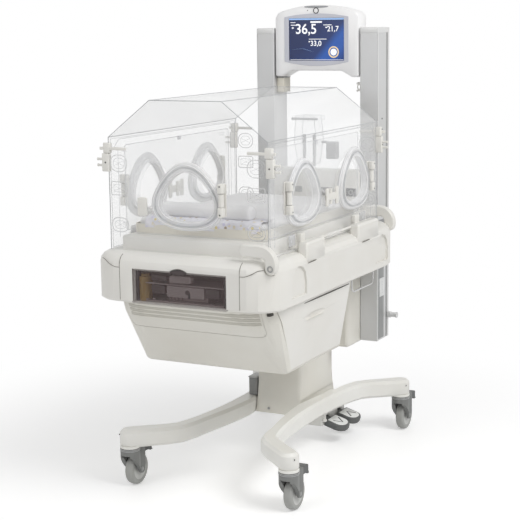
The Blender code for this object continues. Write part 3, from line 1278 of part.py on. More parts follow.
def make_hood(tray):
    wall = HOOD_WALL
    shell = slab(hood_outline(0), "y", 0, HOOD_LENGTH)
    shell = cut(shell, slab(hood_outline(wall), "y", wall, HOOD_LENGTH - wall))
    top = HOOD_SHOULDER_Z - HOOD_EAVE
    opening = block((-HOOD_HALF_X - OVERRUN, HOOD_POST, HOOD_FOOT_Z - OVERRUN * 2),
                    (HOOD_HALF_X + OVERRUN, HOOD_LENGTH - HOOD_POST, top))
    shell = cut(shell, opening)
    neck = egg(PORT_NECK_HALF + GAP, PORT_NECK_HALF_Z + GAP, (FRONT_PORT_X, PORT_HEIGHT_Z))
    shell = cut(shell, slab(neck, "y", -OVERRUN, wall * 2))
    return finish(shell, "hood_shell", CLEAR, parent=tray)


def make_access_panel(name, side, tray):
    """A long side wall with two port holes and the knuckle that turns on the tray's rod."""
    wall = HOOD_WALL
    low_x, high_x = sorted((side * (HOOD_HALF_X - wall), side * HOOD_HALF_X))
    low_y = HOOD_POST + PANEL_ROOM
    high_y = HOOD_LENGTH - HOOD_POST - PANEL_ROOM
    panel = block((low_x, low_y, TRAY_TOP_Z + PANEL_FOOT_RISE), (high_x, high_y, PANEL_TOP_Z))
    middle = (PAD_SPANS_Y[0][1] + PAD_SPANS_Y[1][0]) / 2
    inner, outer = sorted((side * (HOOD_HALF_X - wall / 2), side * (PANEL_HINGE_X + KNUCKLE_OVERHANG)))
    knuckle = block((inner, middle - KNUCKLE_LENGTH / 2, PANEL_HINGE_Z - KNUCKLE_HALF_HEIGHT),
                    (outer, middle + KNUCKLE_LENGTH / 2, PANEL_HINGE_Z + KNUCKLE_HALF_HEIGHT), wall / 2)
    panel = join(panel, knuckle)
    reach = KNUCKLE_LENGTH
    bore = rod((side * PANEL_HINGE_X, 0, PANEL_HINGE_Z), PANEL_ROD_RADIUS + PIN_FIT,
               middle - reach, middle + reach, "y", 12)
    panel = cut(panel, bore)
    for y in SIDE_PORTS_Y:
        hole = egg(PORT_NECK_HALF + GAP, PORT_NECK_HALF_Z + GAP, (y, PORT_HEIGHT_Z))
        panel = cut(panel, slab(hole, "x", low_x - OVERRUN, high_x + OVERRUN / 2))
    pivot = (side * PANEL_HINGE_X, middle, PANEL_HINGE_Z)
    return finish(panel, "side_panel_" + name, CLEAR, pivot=pivot, parent=tray)


def make_inner_wall(name, side, panel):
    """The second wall, held off the access panel by four studs."""
    low_x, high_x = sorted((side * INNER_WALL_X, side * (INNER_WALL_X + INNER_WALL_THICKNESS)))
    rear = INNER_WALL_FRONT_Y + INNER_WALL_LENGTH
    outline = round_box((INNER_WALL_FRONT_Y, INNER_WALL_FOOT_Z), (rear, INNER_WALL_TOP_Z), INNER_WALL_CORNER)
    holes = [egg(PORT_BORE_HALF, PORT_BORE_HALF_Z, (y, PORT_HEIGHT_Z)) for y in SIDE_PORTS_Y]
    wall = slab(outline, "x", low_x, high_x, holes=holes)
    root = INNER_WALL_X + INNER_WALL_THICKNESS / 2
    start, end = sorted((side * root, side * (HOOD_HALF_X - HOOD_WALL - GAP)))
    for y in (INNER_WALL_FRONT_Y + STANDOFF_INSET, rear - STANDOFF_INSET):
        for z in (INNER_WALL_FOOT_Z + STANDOFF_INSET, INNER_WALL_TOP_Z - STANDOFF_INSET):
            wall = join(wall, rod((0, y, z), STANDOFF_RADIUS, start, end, "x", 10))
    finish(wall, "inner_wall_" + name, CLEAR, parent=panel)


# Hand ports, built facing -Y round their own centre

def port_frame(side):
    """The seal ring with its neck through the panel and the slotted hinge block at one side."""
    bore = egg(PORT_BORE_HALF, PORT_BORE_HALF_Z)
    face = -PORT_FLANGE_THICKNESS
    flange = slab(egg(PORT_OUTER_HALF, PORT_OUTER_HALF_Z), "y", face, -GAP, PORT_ROUNDING, (bore,), 1)
    root = -HINGE_BLOCK_FOOT / 2
    neck = slab(egg(PORT_NECK_HALF, PORT_NECK_HALF_Z), "y", root, HOOD_WALL + PORT_NECK_DEPTH, 0, (bore,))
    offset = side * HINGE_BLOCK_OFFSET
    half = HINGE_BLOCK_HALF
    tall = HINGE_BLOCK_HEIGHT / 2
    body = block((offset - half, -HINGE_BLOCK_DEPTH, -tall), (offset + half, -GAP * 3, tall),
                 HINGE_BLOCK_ROUNDING, 1)
    frame = join(flange, neck, body)
    gap_half = KNUCKLE_HEIGHT / 2 + KNUCKLE_END_ROOM
    near, far = sorted((offset - side * half * 3 / 2, offset + side * (half + OVERRUN)))
    slot = block((near, -HINGE_BLOCK_DEPTH - OVERRUN, -gap_half), (far, -HINGE_BLOCK_FOOT, gap_half))
    grip = gap_half + HINGE_BLOCK_ROUNDING
    pin = rod((offset, -HINGE_PIN_OUT, 0), HINGE_PIN_RADIUS, -grip, grip, "z", 10)
    return join(cut(frame, slot), pin)


def port_door(side):
    """The clear egg door with an ear that narrows to its bored knuckle."""
    inner = -PORT_FLANGE_THICKNESS - GAP
    outer = inner - PORT_DOOR_THICKNESS
    door = slab(egg(PORT_DOOR_HALF, PORT_DOOR_HALF_Z), "y", outer, inner)
    offset = side * HINGE_BLOCK_OFFSET
    throat = offset - side * HINGE_BLOCK_HALF * 8 / 5
    tall = KNUCKLE_HEIGHT / 2
    ear = [(offset / 2, -EAR_ROOT_HALF), (throat, -tall), (offset, -tall),
           (offset, tall), (throat, tall), (offset / 2, EAR_ROOT_HALF)]
    axis = (offset, -HINGE_PIN_OUT, 0)
    knuckle = rod(axis, KNUCKLE_RADIUS, -tall, tall, "z", 16)
    door = join(door, slab(ear, "y", outer, inner), knuckle)
    return cut(door, rod(axis, HINGE_PIN_RADIUS + PIN_FIT, -tall * 2, tall * 2, "z", 10))


def port_latch(half):
    """A rocking press plate on a half-round hub."""
    plate = block((-half, -LATCH_OUT - LATCH_THICKNESS, -LATCH_HALF_HEIGHT),
                  (half, -LATCH_OUT, LATCH_HALF_HEIGHT), LATCH_ROUNDING)
    hub_out = LATCH_HUB_RADIUS + GAP
    hub = rod((0, -hub_out, 0), LATCH_HUB_RADIUS, -LATCH_HALF_HEIGHT + LATCH_ROUNDING,
              LATCH_HALF_HEIGHT - LATCH_ROUNDING, "z", 12)
    return join(plate, hub)


def face_matrix(turn, x, y, z):
    return Matrix.Translation((x, y, z)) @ Matrix.Rotation(math.radians(turn), 4, "Z")


def make_port(name, side, matrix, panel):
    offset = side * HINGE_BLOCK_OFFSET
    hinge = matrix @ Vector((offset, -HINGE_PIN_OUT, 0))
    frame = finish(moved(port_frame(side), matrix), "port_frame_" + name, CUFF,
                   pivot=matrix.to_translation(), parent=panel)
    finish(moved(port_door(side), matrix), "port_door_" + name, CLEAR, pivot=hinge, parent=frame)


def make_latch(name, half, matrix, panel):
    hinge = matrix @ Vector((0, -LATCH_HUB_RADIUS - GAP, 0))
    finish(moved(port_latch(half), matrix), "port_latch_" + name, WARM_WHITE, pivot=hinge, parent=panel)


def make_sides(tray, hood):
    make_port("front", 1, face_matrix(0, FRONT_PORT_X, 0, PORT_HEIGHT_Z), hood)
    make_latch("front", LATCH_FRONT_HALF, face_matrix(0, LATCH_FRONT_X, 0, LATCH_HEIGHT_Z), hood)
    for name, side in (("right", 1), ("left", -1)):
        panel = make_access_panel(name, side, tray)
        make_inner_wall(name, side, panel)
        turn = side * 90
        near, far = SIDE_PORTS_Y
        edge = side * HOOD_HALF_X
        make_port(name + "_near", -side, face_matrix(turn, edge, near, PORT_HEIGHT_Z), panel)
        make_port(name + "_far", side, face_matrix(turn, edge, far, PORT_HEIGHT_Z), panel)
        middle = face_matrix(turn, edge, (near + far) / 2, LATCH_HEIGHT_Z)
        make_latch(name, LATCH_SIDE_HALF, middle, panel)


# Masts, monitor and the housings between the masts

def make_masts(column):
    """Two slotted columns: one plan outline with a groove in its outer face, drawn for each side."""
    rear = MAST_FRONT_Y + MAST_DEPTH
    groove = MAST_FRONT_Y + MAST_SLOT_SETBACK
    for name, side in (("right", 1), ("left", -1)):
        inner = side * MAST_INNER_X
        outer = side * (MAST_INNER_X + MAST_WIDTH)
        bed = outer - side * MAST_SLOT_DEPTH
        groove_end = groove + MAST_SLOT_WIDTH
        outline = [(inner, MAST_FRONT_Y), (outer, MAST_FRONT_Y), (outer, groove), (bed, groove),
                   (bed, groove_end), (outer, groove_end), (outer, rear), (inner, rear)]
        mast = slab(outline, "z", MAST_BOTTOM_Z, MAST_TOP_Z, MAST_CORNER / 2, segments=1)
        finish(mast, "mast_" + name, COOL_GREY, parent=column)


def make_housings(column):
    """The bulkhead behind the tray and the housing below it, open in front for the sleeve."""
    half = MAST_INNER_X - GAP
    low_y = TRAY_REAR_Y + GAP
    high_y = low_y + BULKHEAD_DEPTH
    bulkhead = block((-half, low_y, TRAY_BOTTOM_Z), (half, high_y, BULKHEAD_TOP_Z), BULKHEAD_ROUNDING)
    finish(bulkhead, "rear_bulkhead", WARM_WHITE, parent=column)
    housing = block((-half, REAR_HOUSING_FRONT_Y, REAR_HOUSING_BOTTOM_Z), (half, high_y, TRAY_BOTTOM_Z - GAP),
                    REAR_HOUSING_ROUNDING)
    room = SLEEVE_HALF_X + SLEEVE_PASSAGE
    channel = block((-room, REAR_HOUSING_FRONT_Y - OVERRUN, REAR_HOUSING_BOTTOM_Z - OVERRUN),
                    (room, SLEEVE_REAR_Y + SLEEVE_PASSAGE, TRAY_BOTTOM_Z + OVERRUN))
    finish(cut(housing, channel), "rear_housing", IVORY, parent=column)


def monitor_outline():
    """The case seen from the front: two feet, an arch between them and a crowned top."""
    half = MONITOR_HALF_X
    foot = half * MONITOR_FOOT_SHARE
    arch = half * MONITOR_ARCH_SHARE
    rise = MONITOR_CROWN_Z - MONITOR_SHOULDER_Z
    radius = (half * half + rise * rise) / (2 * rise)
    spread = math.degrees(math.asin(half / radius)) * MONITOR_CROWN_SHARE
    crown = arc((0, MONITOR_CROWN_Z - radius), radius, 90 - spread, 90 + spread, 10)
    lower = [(-half, MONITOR_FOOT_Z), (-foot, MONITOR_FOOT_Z), (-arch, MONITOR_ARCH_Z),
             (arch, MONITOR_ARCH_Z), (foot, MONITOR_FOOT_Z), (half, MONITOR_FOOT_Z)]
    return lower + [(half, MONITOR_SHOULDER_Z - rise / 2)] + crown + [(-half, MONITOR_SHOULDER_Z - rise / 2)]


def make_monitor(column):
    front = MONITOR_FRONT_Y
    case = slab(monitor_outline(), "y", front, front + MONITOR_DEPTH, MONITOR_ROUNDING)
    half = SCREEN_HALF_X
    bed = front + SCREEN_RECESS
    recess = block((-half - GAP, front - OVERRUN, SCREEN_BOTTOM_Z - GAP),
                   (half + GAP, bed, SCREEN_TOP_Z + GAP))
    hole_end = front + BUTTON_DEPTH + BUTTON_TRAVEL + GAP
    hole = rod((0, 0, BUTTON_Z), BUTTON_RADIUS + PIN_FIT, front - OVERRUN, hole_end, "y")
    case = cut(case, recess, hole)
    middle = front + MONITOR_DEPTH / 2
    for side in (-1, 1):
        low, high = sorted((side * (MONITOR_HALF_X - MONITOR_ROUNDING), side * (MAST_INNER_X - GAP)))
        case = join(case, rod((0, middle, MONITOR_PIVOT_Z), MONITOR_PIVOT_RADIUS, low, high, "x"))
    case = finish(case, "monitor", WARM_WHITE, parent=column)
    face = bed - GAP
    screen = block((-half, face - SCREEN_THICKNESS, SCREEN_BOTTOM_Z), (half, face, SCREEN_TOP_Z))
    finish(screen, "screen", SCREEN_BLUE, parent=case)
    button = rod((0, 0, BUTTON_Z), BUTTON_RADIUS, front - BUTTON_PROUD, front + BUTTON_DEPTH, "y")
    finish(button, "monitor_button", COOL_GREY, pivot=(0, front, BUTTON_Z), parent=case)


def make_sensor_pod(hood):
    """The clear sensor housing on the hood's far end, with a bar across its top."""
    rear = HOOD_LENGTH - HOOD_WALL - GAP
    front = rear - POD_DEPTH
    width = POD_HIGH_X - POD_LOW_X
    waist = width * POD_WAIST_SHARE
    middle_z = (POD_BOTTOM_Z + POD_TOP_Z) / 2
    outline = [(POD_LOW_X + waist, POD_BOTTOM_Z), (POD_HIGH_X - waist, POD_BOTTOM_Z), (POD_HIGH_X, middle_z),
               (POD_HIGH_X - waist / 2, POD_TOP_Z), (POD_LOW_X + waist / 2, POD_TOP_Z), (POD_LOW_X, middle_z)]
    pod = slab(outline, "y", front, rear, POD_BAR_HEIGHT / 4)
    bar = block((POD_LOW_X - waist / 2, front - waist / 4, POD_TOP_Z - POD_BAR_HEIGHT),
                (POD_HIGH_X + waist / 2, rear, POD_TOP_Z), POD_BAR_HEIGHT / 6)
    finish(join(pod, bar), "sensor_pod", CLEAR, parent=hood)


def make_bail(tray):
    """The bent wire under the tray's right edge."""
    top = TRAY_BOTTOM_Z - GAP
    low = top - BAIL_DROP
    bend = BAIL_BEND
    front = [(y, z) for y, z in arc((BAIL_FRONT_Y + bend, low + bend), bend, 180, 270)]
    rear = [(y, z) for y, z in arc((BAIL_REAR_Y - bend, low + bend), bend, 270, 360)]
    path = [(BAIL_FRONT_Y, top)] + front + rear + [(BAIL_REAR_Y, top)]
    bail = wire([(BAIL_X, y, z) for y, z in path], BAIL_RADIUS)
    finish(bail, "cable_bail", STEEL, parent=tray)


def build():
    make_base_frame()
    make_column_sleeve()
    make_casters()
    make_pedals()
    column = make_lift_column()
    make_belly()
    tray = make_tray()
    make_humidifier(tray)
    make_tilt_levers(tray)
    make_bed(tray)
    hood = make_hood(tray)
    make_sides(tray, hood)
    make_masts(column)
    make_housings(column)
    make_monitor(column)
    make_sensor_pod(hood)
    make_bail(tray)
    bpy.context.view_layer.update()


build()
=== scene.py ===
"""Finish, light and camera for the infant incubator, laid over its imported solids.

Places are written in metres from the outer face of the hood's near end panel, as in the part's
source; form() moves them to the shared frame. X runs to the right, -Y towards the humidifier
door, Z up.
"""
import json
import math

import bmesh
import bpy
import numpy as np
from mathutils import Matrix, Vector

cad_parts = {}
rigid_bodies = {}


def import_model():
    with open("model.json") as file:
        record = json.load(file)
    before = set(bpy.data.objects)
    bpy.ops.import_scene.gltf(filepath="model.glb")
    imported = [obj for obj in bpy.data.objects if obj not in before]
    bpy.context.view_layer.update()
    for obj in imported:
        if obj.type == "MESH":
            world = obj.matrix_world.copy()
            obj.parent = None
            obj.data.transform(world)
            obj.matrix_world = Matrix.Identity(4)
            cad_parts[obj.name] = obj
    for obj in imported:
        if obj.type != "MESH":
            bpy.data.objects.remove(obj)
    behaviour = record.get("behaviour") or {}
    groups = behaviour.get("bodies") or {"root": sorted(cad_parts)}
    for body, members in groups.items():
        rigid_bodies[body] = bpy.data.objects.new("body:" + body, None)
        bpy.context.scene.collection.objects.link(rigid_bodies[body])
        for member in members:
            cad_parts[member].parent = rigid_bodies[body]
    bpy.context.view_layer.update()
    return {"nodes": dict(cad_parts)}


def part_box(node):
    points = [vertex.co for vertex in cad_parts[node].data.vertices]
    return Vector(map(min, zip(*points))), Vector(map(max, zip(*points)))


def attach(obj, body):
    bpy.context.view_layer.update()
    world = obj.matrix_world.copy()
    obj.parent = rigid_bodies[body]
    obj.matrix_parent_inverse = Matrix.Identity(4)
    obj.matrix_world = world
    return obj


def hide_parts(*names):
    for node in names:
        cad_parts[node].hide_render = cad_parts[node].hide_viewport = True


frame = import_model()

NODES = frame["nodes"]
NEAR_PANEL_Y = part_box("hood_shell")[0].y
RIGHT, LEFT = 1.0, -1.0


# Shapes: each gives a grid of points, rows by columns by three

def rounded_ring(half_a, half_b, corner, count=6):
    """Rounded rectangle: corner * (cos t, sin t) moved to the nearest of four corner centres."""
    quarter = np.linspace(0, math.pi / 2, count)
    angle = np.concatenate([quarter + k * math.pi / 2 for k in range(4)] + [[0.0]])
    sign_a = np.concatenate([np.full(count, s) for s in (1, -1, -1, 1)] + [[1.0]])
    sign_b = np.concatenate([np.full(count, s) for s in (1, 1, -1, -1)] + [[1.0]])
    corner = np.minimum(corner, min(half_a, half_b))
    a = sign_a * (half_a - corner) + corner * np.cos(angle)
    b = sign_b * (half_b - corner) + corner * np.sin(angle)
    return np.stack([a, b], axis=-1)


def placed(a, b, c, axis):
    """Stack two in-plane values and one along the axis into points."""
    order = {"x": (c, a, b), "y": (a, c, b), "z": (a, b, c)}[axis]
    return np.stack(np.broadcast_arrays(*order), axis=-1)


def soft_box(low, high, corner=0.004, edge=0.0015, axis="z", steps=4):
    """Box with a rounded plan: rings shrink by edge * (1 - sin t) while they rise by edge * (1 - cos t)."""
    low, high = np.array(low, float), np.array(high, float)
    k = "xyz".index(axis)
    plane = [i for i in range(3) if i != k]
    half = (high - low)[plane] / 2
    middle = (high + low)[plane] / 2
    edge = min(edge, (high[k] - low[k]) / 2, float(min(half)))
    turn = np.linspace(0, math.pi / 2, steps)
    inset = np.concatenate([edge * (1 - np.sin(turn)), edge * (1 - np.sin(turn[::-1]))])
    level = np.concatenate([low[k] + edge * (1 - np.cos(turn)), high[k] - edge * (1 - np.cos(turn[::-1]))])
    rings = [rounded_ring(half[0] - s, half[1] - s, max(corner - s, 0.0)) for s in inset]
    rings = np.array([rings[0] * 0] + rings + [rings[-1] * 0])
    level = np.concatenate([[low[k]], level, [high[k]]])
    return placed(rings[..., 0] + middle[0], rings[..., 1] + middle[1], level[:, None], axis)


def ordered(side, a, b):
    """Two distances from the middle plane, put on one side and sorted."""
    return min(side * a, side * b), max(side * a, side * b)


def side_box(side, low, high, corner, edge, axis="z"):
    """soft_box given for the right side; side -1 mirrors it to the left."""
    x0, x1 = ordered(side, low[0], high[0])
    return soft_box((x0, low[1], low[2]), (x1, high[1], high[2]), corner, edge, axis)


def lathe(profile, centre, axis="z", count=32):
    """Profile of (radius, place along the axis) turned round the axis: radius * (cos t, sin t)."""
    profile = np.array(profile, float)
    angle = np.linspace(0, 2 * math.pi, count + 1)
    k = "xyz".index(axis)
    centre = np.array(centre, float)
    plane = [i for i in range(3) if i != k]
    a = profile[:, :1] * np.cos(angle) + centre[plane[0]]
    b = profile[:, :1] * np.sin(angle) + centre[plane[1]]
    return placed(a, b, profile[:, 1:] + centre[k], axis)


def tangents(path):
    """Unit vectors along a path, from the difference of its neighbours, also over a closed path's seam."""
    ahead = np.gradient(path, axis=0)
    if np.allclose(path[0], path[-1]):
        ahead[0] = ahead[-1] = path[1] - path[-2]
    return ahead / np.linalg.norm(ahead, axis=1, keepdims=True)


def swept(path, outline, up=(0, 0, 1), scale=None):
    """Outline (a, b) carried along a path: point + a * (up x way) + b * (way x side), caps on open ends."""
    path = np.array(path, float)
    outline = np.array(outline, float)
    way = tangents(path)
    side = np.cross(way, np.array(up, float))
    side /= np.linalg.norm(side, axis=1, keepdims=True)
    rise = np.cross(side, way)
    size = np.ones(len(path)) if scale is None else np.array(scale, float)
    a = outline[:, 0] * size[:, None]
    b = outline[:, 1] * size[:, None]
    rings = path[:, None] + a[..., None] * side[:, None] + b[..., None] * rise[:, None]
    if not np.allclose(path[0], path[-1]):
        ends = np.broadcast_to(path[[0, -1], None], (2,) + rings.shape[1:])
        rings = np.concatenate([ends[:1], rings, ends[1:]])
    return rings


def tube(path, radius, up=(0, 0, 1), count=8):
    """Round bar along a path; radius may change from point to point."""
    angle = np.linspace(0, 2 * math.pi, count + 1)
    size = np.broadcast_to(np.array(radius, float), (len(path),))
    return swept(path, np.stack([np.cos(angle), np.sin(angle)], axis=-1), up, size)


def curve_through(points, steps=6):
    """Catmull-Rom curve: each span is a cubic whose ends lean along their neighbours' chord."""
    points = np.array(points, float)
    knots = np.concatenate([points[:1], points, points[-1:]])
    t = np.linspace(0, 1, steps, endpoint=False)[:, None]
    a, b, c, d = [knots[i:len(knots) - 3 + i, None] for i in range(4)]
    spans = 2 * b + (c - a) * t + (2 * a - 5 * b + 4 * c - d) * t ** 2 + (3 * b - a - 3 * c + d) * t ** 3
    spans = spans / 2
    return np.concatenate([spans.reshape(-1, points.shape[1]), points[-1:]])


def bead(centre, radii, power=2.0, count=16):
    """Superellipsoid: each sine and cosine keeps its sign and takes the power 2 / power."""
    def soft(v):
        """Signed power of a sine or cosine."""
        return np.sign(v) * np.abs(v) ** (2.0 / power)
    around = np.linspace(-math.pi, math.pi, count + 1)
    up = np.linspace(-math.pi / 2, math.pi / 2, count // 2 + 1)[:, None]
    x = radii[0] * soft(np.cos(up)) * soft(np.cos(around))
    y = radii[1] * soft(np.cos(up)) * soft(np.sin(around))
    z = radii[2] * soft(np.sin(up)) * np.ones_like(around)
    return np.stack([x, y, z], axis=-1) + np.array(centre, float)


EGG_TAPER = 0.15
EGG_CORNER = 0.045
MERGE_DISTANCE = 2e-6


def egg_ring(half_wide, half_tall, count=64):
    """Rounded triangle, wide at the bottom: (a cos t (1 - k sin t), b sin t), both times 1 - c sin 3t."""
    t = np.linspace(0, 2 * math.pi, count + 1)
    reach = 1 - EGG_CORNER * np.sin(3 * t)
    return np.stack([half_wide * np.cos(t) * (1 - EGG_TAPER * np.sin(t)) * reach,
                     half_tall * np.sin(t) * reach], axis=-1)


def egg_skin(profile, inner, outer):
    """Ring between two eggs: profile (s, out) mixes them by s and stands off the wall by out."""
    profile = np.array(profile, float)
    bore, rim = egg_ring(*inner), egg_ring(*outer)
    s = profile[:, 0][:, None, None]
    flat = bore * (1 - s) + rim * s
    return placed(flat[..., 0], flat[..., 1], -profile[:, 1:], "y")


def turned_to(points, side, centre):
    """Turn a shape built facing -Y so that it faces the given side, and move it to its centre."""
    x, y, z = points[..., 0], points[..., 1], points[..., 2]
    if side == "front":
        turned = (x, y, z)
    elif side == "right":
        turned = (-y, x, z)
    else:
        turned = (y, -x, z)
    return np.stack(turned, axis=-1) + np.array(centre, float)


# Pieces

def form(name, grids, body, look, smooth=35.0, bevel=0.0):
    """One object from grids of points: neighbours in a grid make quads, doubles merge, faces point out."""
    points, faces, start = [], [], 0
    for grid in grids:
        rows, columns = grid.shape[:2]
        index = start + np.arange(rows * columns).reshape(rows, columns)
        quads = np.stack([index[:-1, :-1], index[:-1, 1:], index[1:, 1:], index[1:, :-1]], axis=-1)
        points.append(grid.reshape(-1, 3))
        faces.append(quads.reshape(-1, 4))
        start += rows * columns
    points = np.concatenate(points) + np.array([0, NEAR_PANEL_Y, 0])
    mesh = bpy.data.meshes.new(name)
    mesh.from_pydata(points.tolist(), [], np.concatenate(faces).tolist())
    work = bmesh.new()
    work.from_mesh(mesh)
    bmesh.ops.remove_doubles(work, verts=work.verts, dist=MERGE_DISTANCE)
    bmesh.ops.dissolve_degenerate(work, edges=work.edges, dist=1e-6)
    bmesh.ops.recalc_face_normals(work, faces=work.faces)
    work.to_mesh(mesh)
    work.free()
    item = bpy.data.objects.new(name, mesh)
    bpy.context.scene.collection.objects.link(item)
    return settle(item, body, look, smooth, bevel)


def settle(item, body, look, smooth=35.0, bevel=0.0):
    """Give a piece its finish, smooth shading below an angle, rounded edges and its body."""
    item.data.materials.clear()
    item.data.materials.append(look)
    item.data.shade_smooth()
    item.data.set_sharp_from_angle(angle=math.radians(smooth))
    if bevel:
        step = item.modifiers.new("edge_rounding", "BEVEL")
        step.width = bevel
        step.segments = 2
        step.limit_method = "ANGLE"
        step.angle_limit = math.radians(50)
        step.harden_normals = True
    if body:
        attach(item, body)
    return item


def body_of_node(node):
    """Name of the body that carries a solid."""
    return NODES[node].parent.name.split(":", 1)[1]


def dress(node, look, bevel=0.0009, smooth=32.0):
    """A copy of a solid's mesh, merged, with rounded edges and its own finish, in the solid's place."""
    source = NODES[node]
    item = bpy.data.objects.new("shown_" + node, source.data.copy())
    bpy.context.scene.collection.objects.link(item)
    work = bmesh.new()
    work.from_mesh(item.data)
    bmesh.ops.remove_doubles(work, verts=work.verts, dist=MERGE_DISTANCE)
    bmesh.ops.dissolve_limit(work, angle_limit=math.radians(0.5), verts=work.verts, edges=work.edges)
    work.to_mesh(item.data)
    work.free()
    settle(item, body_of_node(node), look, smooth, bevel)
    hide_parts(node)
    return item


def keep(node, look):
    """Leave a solid as it is and give it its finish."""
    slots = NODES[node].material_slots
    for slot in slots:
        slot.material = look


# Finishes

def finish(name, colour, roughness, drift=0.03, grain=0.0001, grain_scale=700.0, metallic=0.0,
           alpha=1.0, patch=5.0, rim_alpha=None):
    """Moulded or painted surface: slow colour drift, uneven gloss and a fine grain, all from noise."""
    material = bpy.data.materials.new(name)
    material.use_nodes = True
    nodes, links = material.node_tree.nodes, material.node_tree.links
    shader = nodes["Principled BSDF"]
    shader.inputs["Metallic"].default_value = metallic
    shader.inputs["Alpha"].default_value = alpha
    place = nodes.new("ShaderNodeTexCoord")
    slow = nodes.new("ShaderNodeTexNoise")
    slow.inputs["Scale"].default_value = patch
    slow.inputs["Detail"].default_value = 5.0
    links.new(place.outputs["Object"], slow.inputs["Vector"])
    tint = nodes.new("ShaderNodeValToRGB")
    darker = [c * (1 - drift) * s for c, s in zip(colour, (0.995, 0.985, 0.965))]
    lighter = [min(c * (1 + drift), 1.0) for c in colour]
    tint.color_ramp.elements[0].position = 0.3
    tint.color_ramp.elements[1].position = 0.7
    tint.color_ramp.elements[0].color = (*darker, 1)
    tint.color_ramp.elements[1].color = (*lighter, 1)
    links.new(slow.outputs["Fac"], tint.inputs["Fac"])
    links.new(tint.outputs["Color"], shader.inputs["Base Color"])
    gloss = nodes.new("ShaderNodeMapRange")
    gloss.inputs["To Min"].default_value = max(roughness - 0.06, 0.02)
    gloss.inputs["To Max"].default_value = min(roughness + 0.08, 1.0)
    links.new(slow.outputs["Fac"], gloss.inputs["Value"])
    links.new(gloss.outputs["Result"], shader.inputs["Roughness"])
    fine = nodes.new("ShaderNodeTexNoise")
    fine.inputs["Scale"].default_value = grain_scale
    fine.inputs["Detail"].default_value = 3.0
    links.new(place.outputs["Object"], fine.inputs["Vector"])
    bump = nodes.new("ShaderNodeBump")
    bump.inputs["Strength"].default_value = 0.35
    bump.inputs["Distance"].default_value = grain
    links.new(fine.outputs["Fac"], bump.inputs["Height"])
    links.new(bump.outputs["Normal"], shader.inputs["Normal"])
    if rim_alpha is not None:
        facing = nodes.new("ShaderNodeLayerWeight")
        facing.inputs["Blend"].default_value = 0.35
        reach = nodes.new("ShaderNodeMapRange")
        reach.inputs["To Min"].default_value = alpha
        reach.inputs["To Max"].default_value = rim_alpha
        links.new(facing.outputs["Facing"], reach.inputs["Value"])
        links.new(reach.outputs["Result"], shader.inputs["Alpha"])
    return material


IVORY = finish("ivory_enamel", (0.77, 0.755, 0.70), 0.40)
WHITE = finish("warm_white_moulding", (0.81, 0.80, 0.765), 0.36)
BEAM = finish("beam_paint", (0.86, 0.855, 0.82), 0.33)
MAST = finish("mast_aluminium", (0.62, 0.625, 0.63), 0.34, metallic=0.15, grain_scale=300.0)
DARK = finish("caster_grey", (0.205, 0.21, 0.205), 0.46)
TYRE = finish("tyre_grey", (0.38, 0.385, 0.37), 0.60)
DISC = finish("wheel_disc", (0.58, 0.585, 0.57), 0.42)
PEDAL = finish("pedal_rubber", (0.12, 0.125, 0.125), 0.62, grain=0.0003)
STEEL = finish("column_steel", (0.58, 0.585, 0.59), 0.28, metallic=0.85, grain_scale=250.0)
CLEAR = finish("clear_acrylic", (0.93, 0.94, 0.955), 0.05, drift=0.01, grain=0.00001, alpha=0.035,
               rim_alpha=0.30)
EDGE = finish("acrylic_edge", (0.50, 0.515, 0.53), 0.20, drift=0.06, alpha=0.75)
FAINT = finish("acrylic_corner", (0.70, 0.71, 0.73), 0.18, drift=0.06, alpha=0.45)
CUFF = finish("silicone_cuff", (0.96, 0.965, 0.985), 0.16, drift=0.02, alpha=0.42, rim_alpha=0.92)
SMOKE = finish("smoked_door", (0.16, 0.12, 0.12), 0.06, alpha=0.20, rim_alpha=0.5)
AMBER = finish("amber_water", (0.42, 0.27, 0.06), 0.15, drift=0.25, patch=18.0, alpha=0.92)
MAUVE = finish("mauve_moulding", (0.30, 0.235, 0.235), 0.42)
CREAM = finish("cream_moulding", (0.77, 0.74, 0.655), 0.45)
LINEN = finish("white_linen", (0.86, 0.86, 0.87), 0.88, grain=0.0004, grain_scale=1400.0)
# Near-black rubber for screws, strips and fittings; also painted shade: the thin box under each brake stands
# in for its shadow.
RUBBER_AND_SHADE = finish("black_rubber", (0.03, 0.03, 0.032), 0.55)
GREY = finish("mid_grey_moulding", (0.34, 0.345, 0.345), 0.42)
SILVER = finish("silver_moulding", (0.50, 0.505, 0.51), 0.35)
STEEL_GREY = finish("steel_grey_moulding", (0.27, 0.275, 0.275), 0.40)
PALE_METAL = finish("pale_aluminium", (0.72, 0.725, 0.725), 0.35, metallic=0.1)
# Translucent grey: the cuffs' darker lines, painted shade streaks at the bore and across the ring, and the
# clear stop buttons and bulkhead hose.
CLEAR_GREY_AND_SHADE = finish("cuff_edge", (0.74, 0.75, 0.78), 0.25, alpha=0.60)
# Whiter and more opaque than the cuff: painted highlights along the cuffs' moulded beads and rims.
CUFF_HIGHLIGHT_WHITE = finish("cuff_bead", (0.97, 0.97, 0.985), 0.20, alpha=0.85)
GROMMET = finish("grommet_clear", (0.74, 0.75, 0.76), 0.18, alpha=0.45)
CASE = finish("monitor_case", (0.93, 0.93, 0.94), 0.34)
PLATE = finish("pedal_plate", (0.88, 0.89, 0.88), 0.40)
# Darker ivory as painted shade: the grip bands' shade under the tray and in the grip's hollows.
IVORY_PAINTED_SHADE = finish("ivory_shade", (0.55, 0.535, 0.48), 0.45)
# Lighter ivory as painted light: highlights on the grip lips and the side grip's lip, and a strip that paints
# out the shade in the side drawer's seam.
IVORY_PAINTED_LIGHT = finish("ivory_light", (0.82, 0.805, 0.75), 0.40)
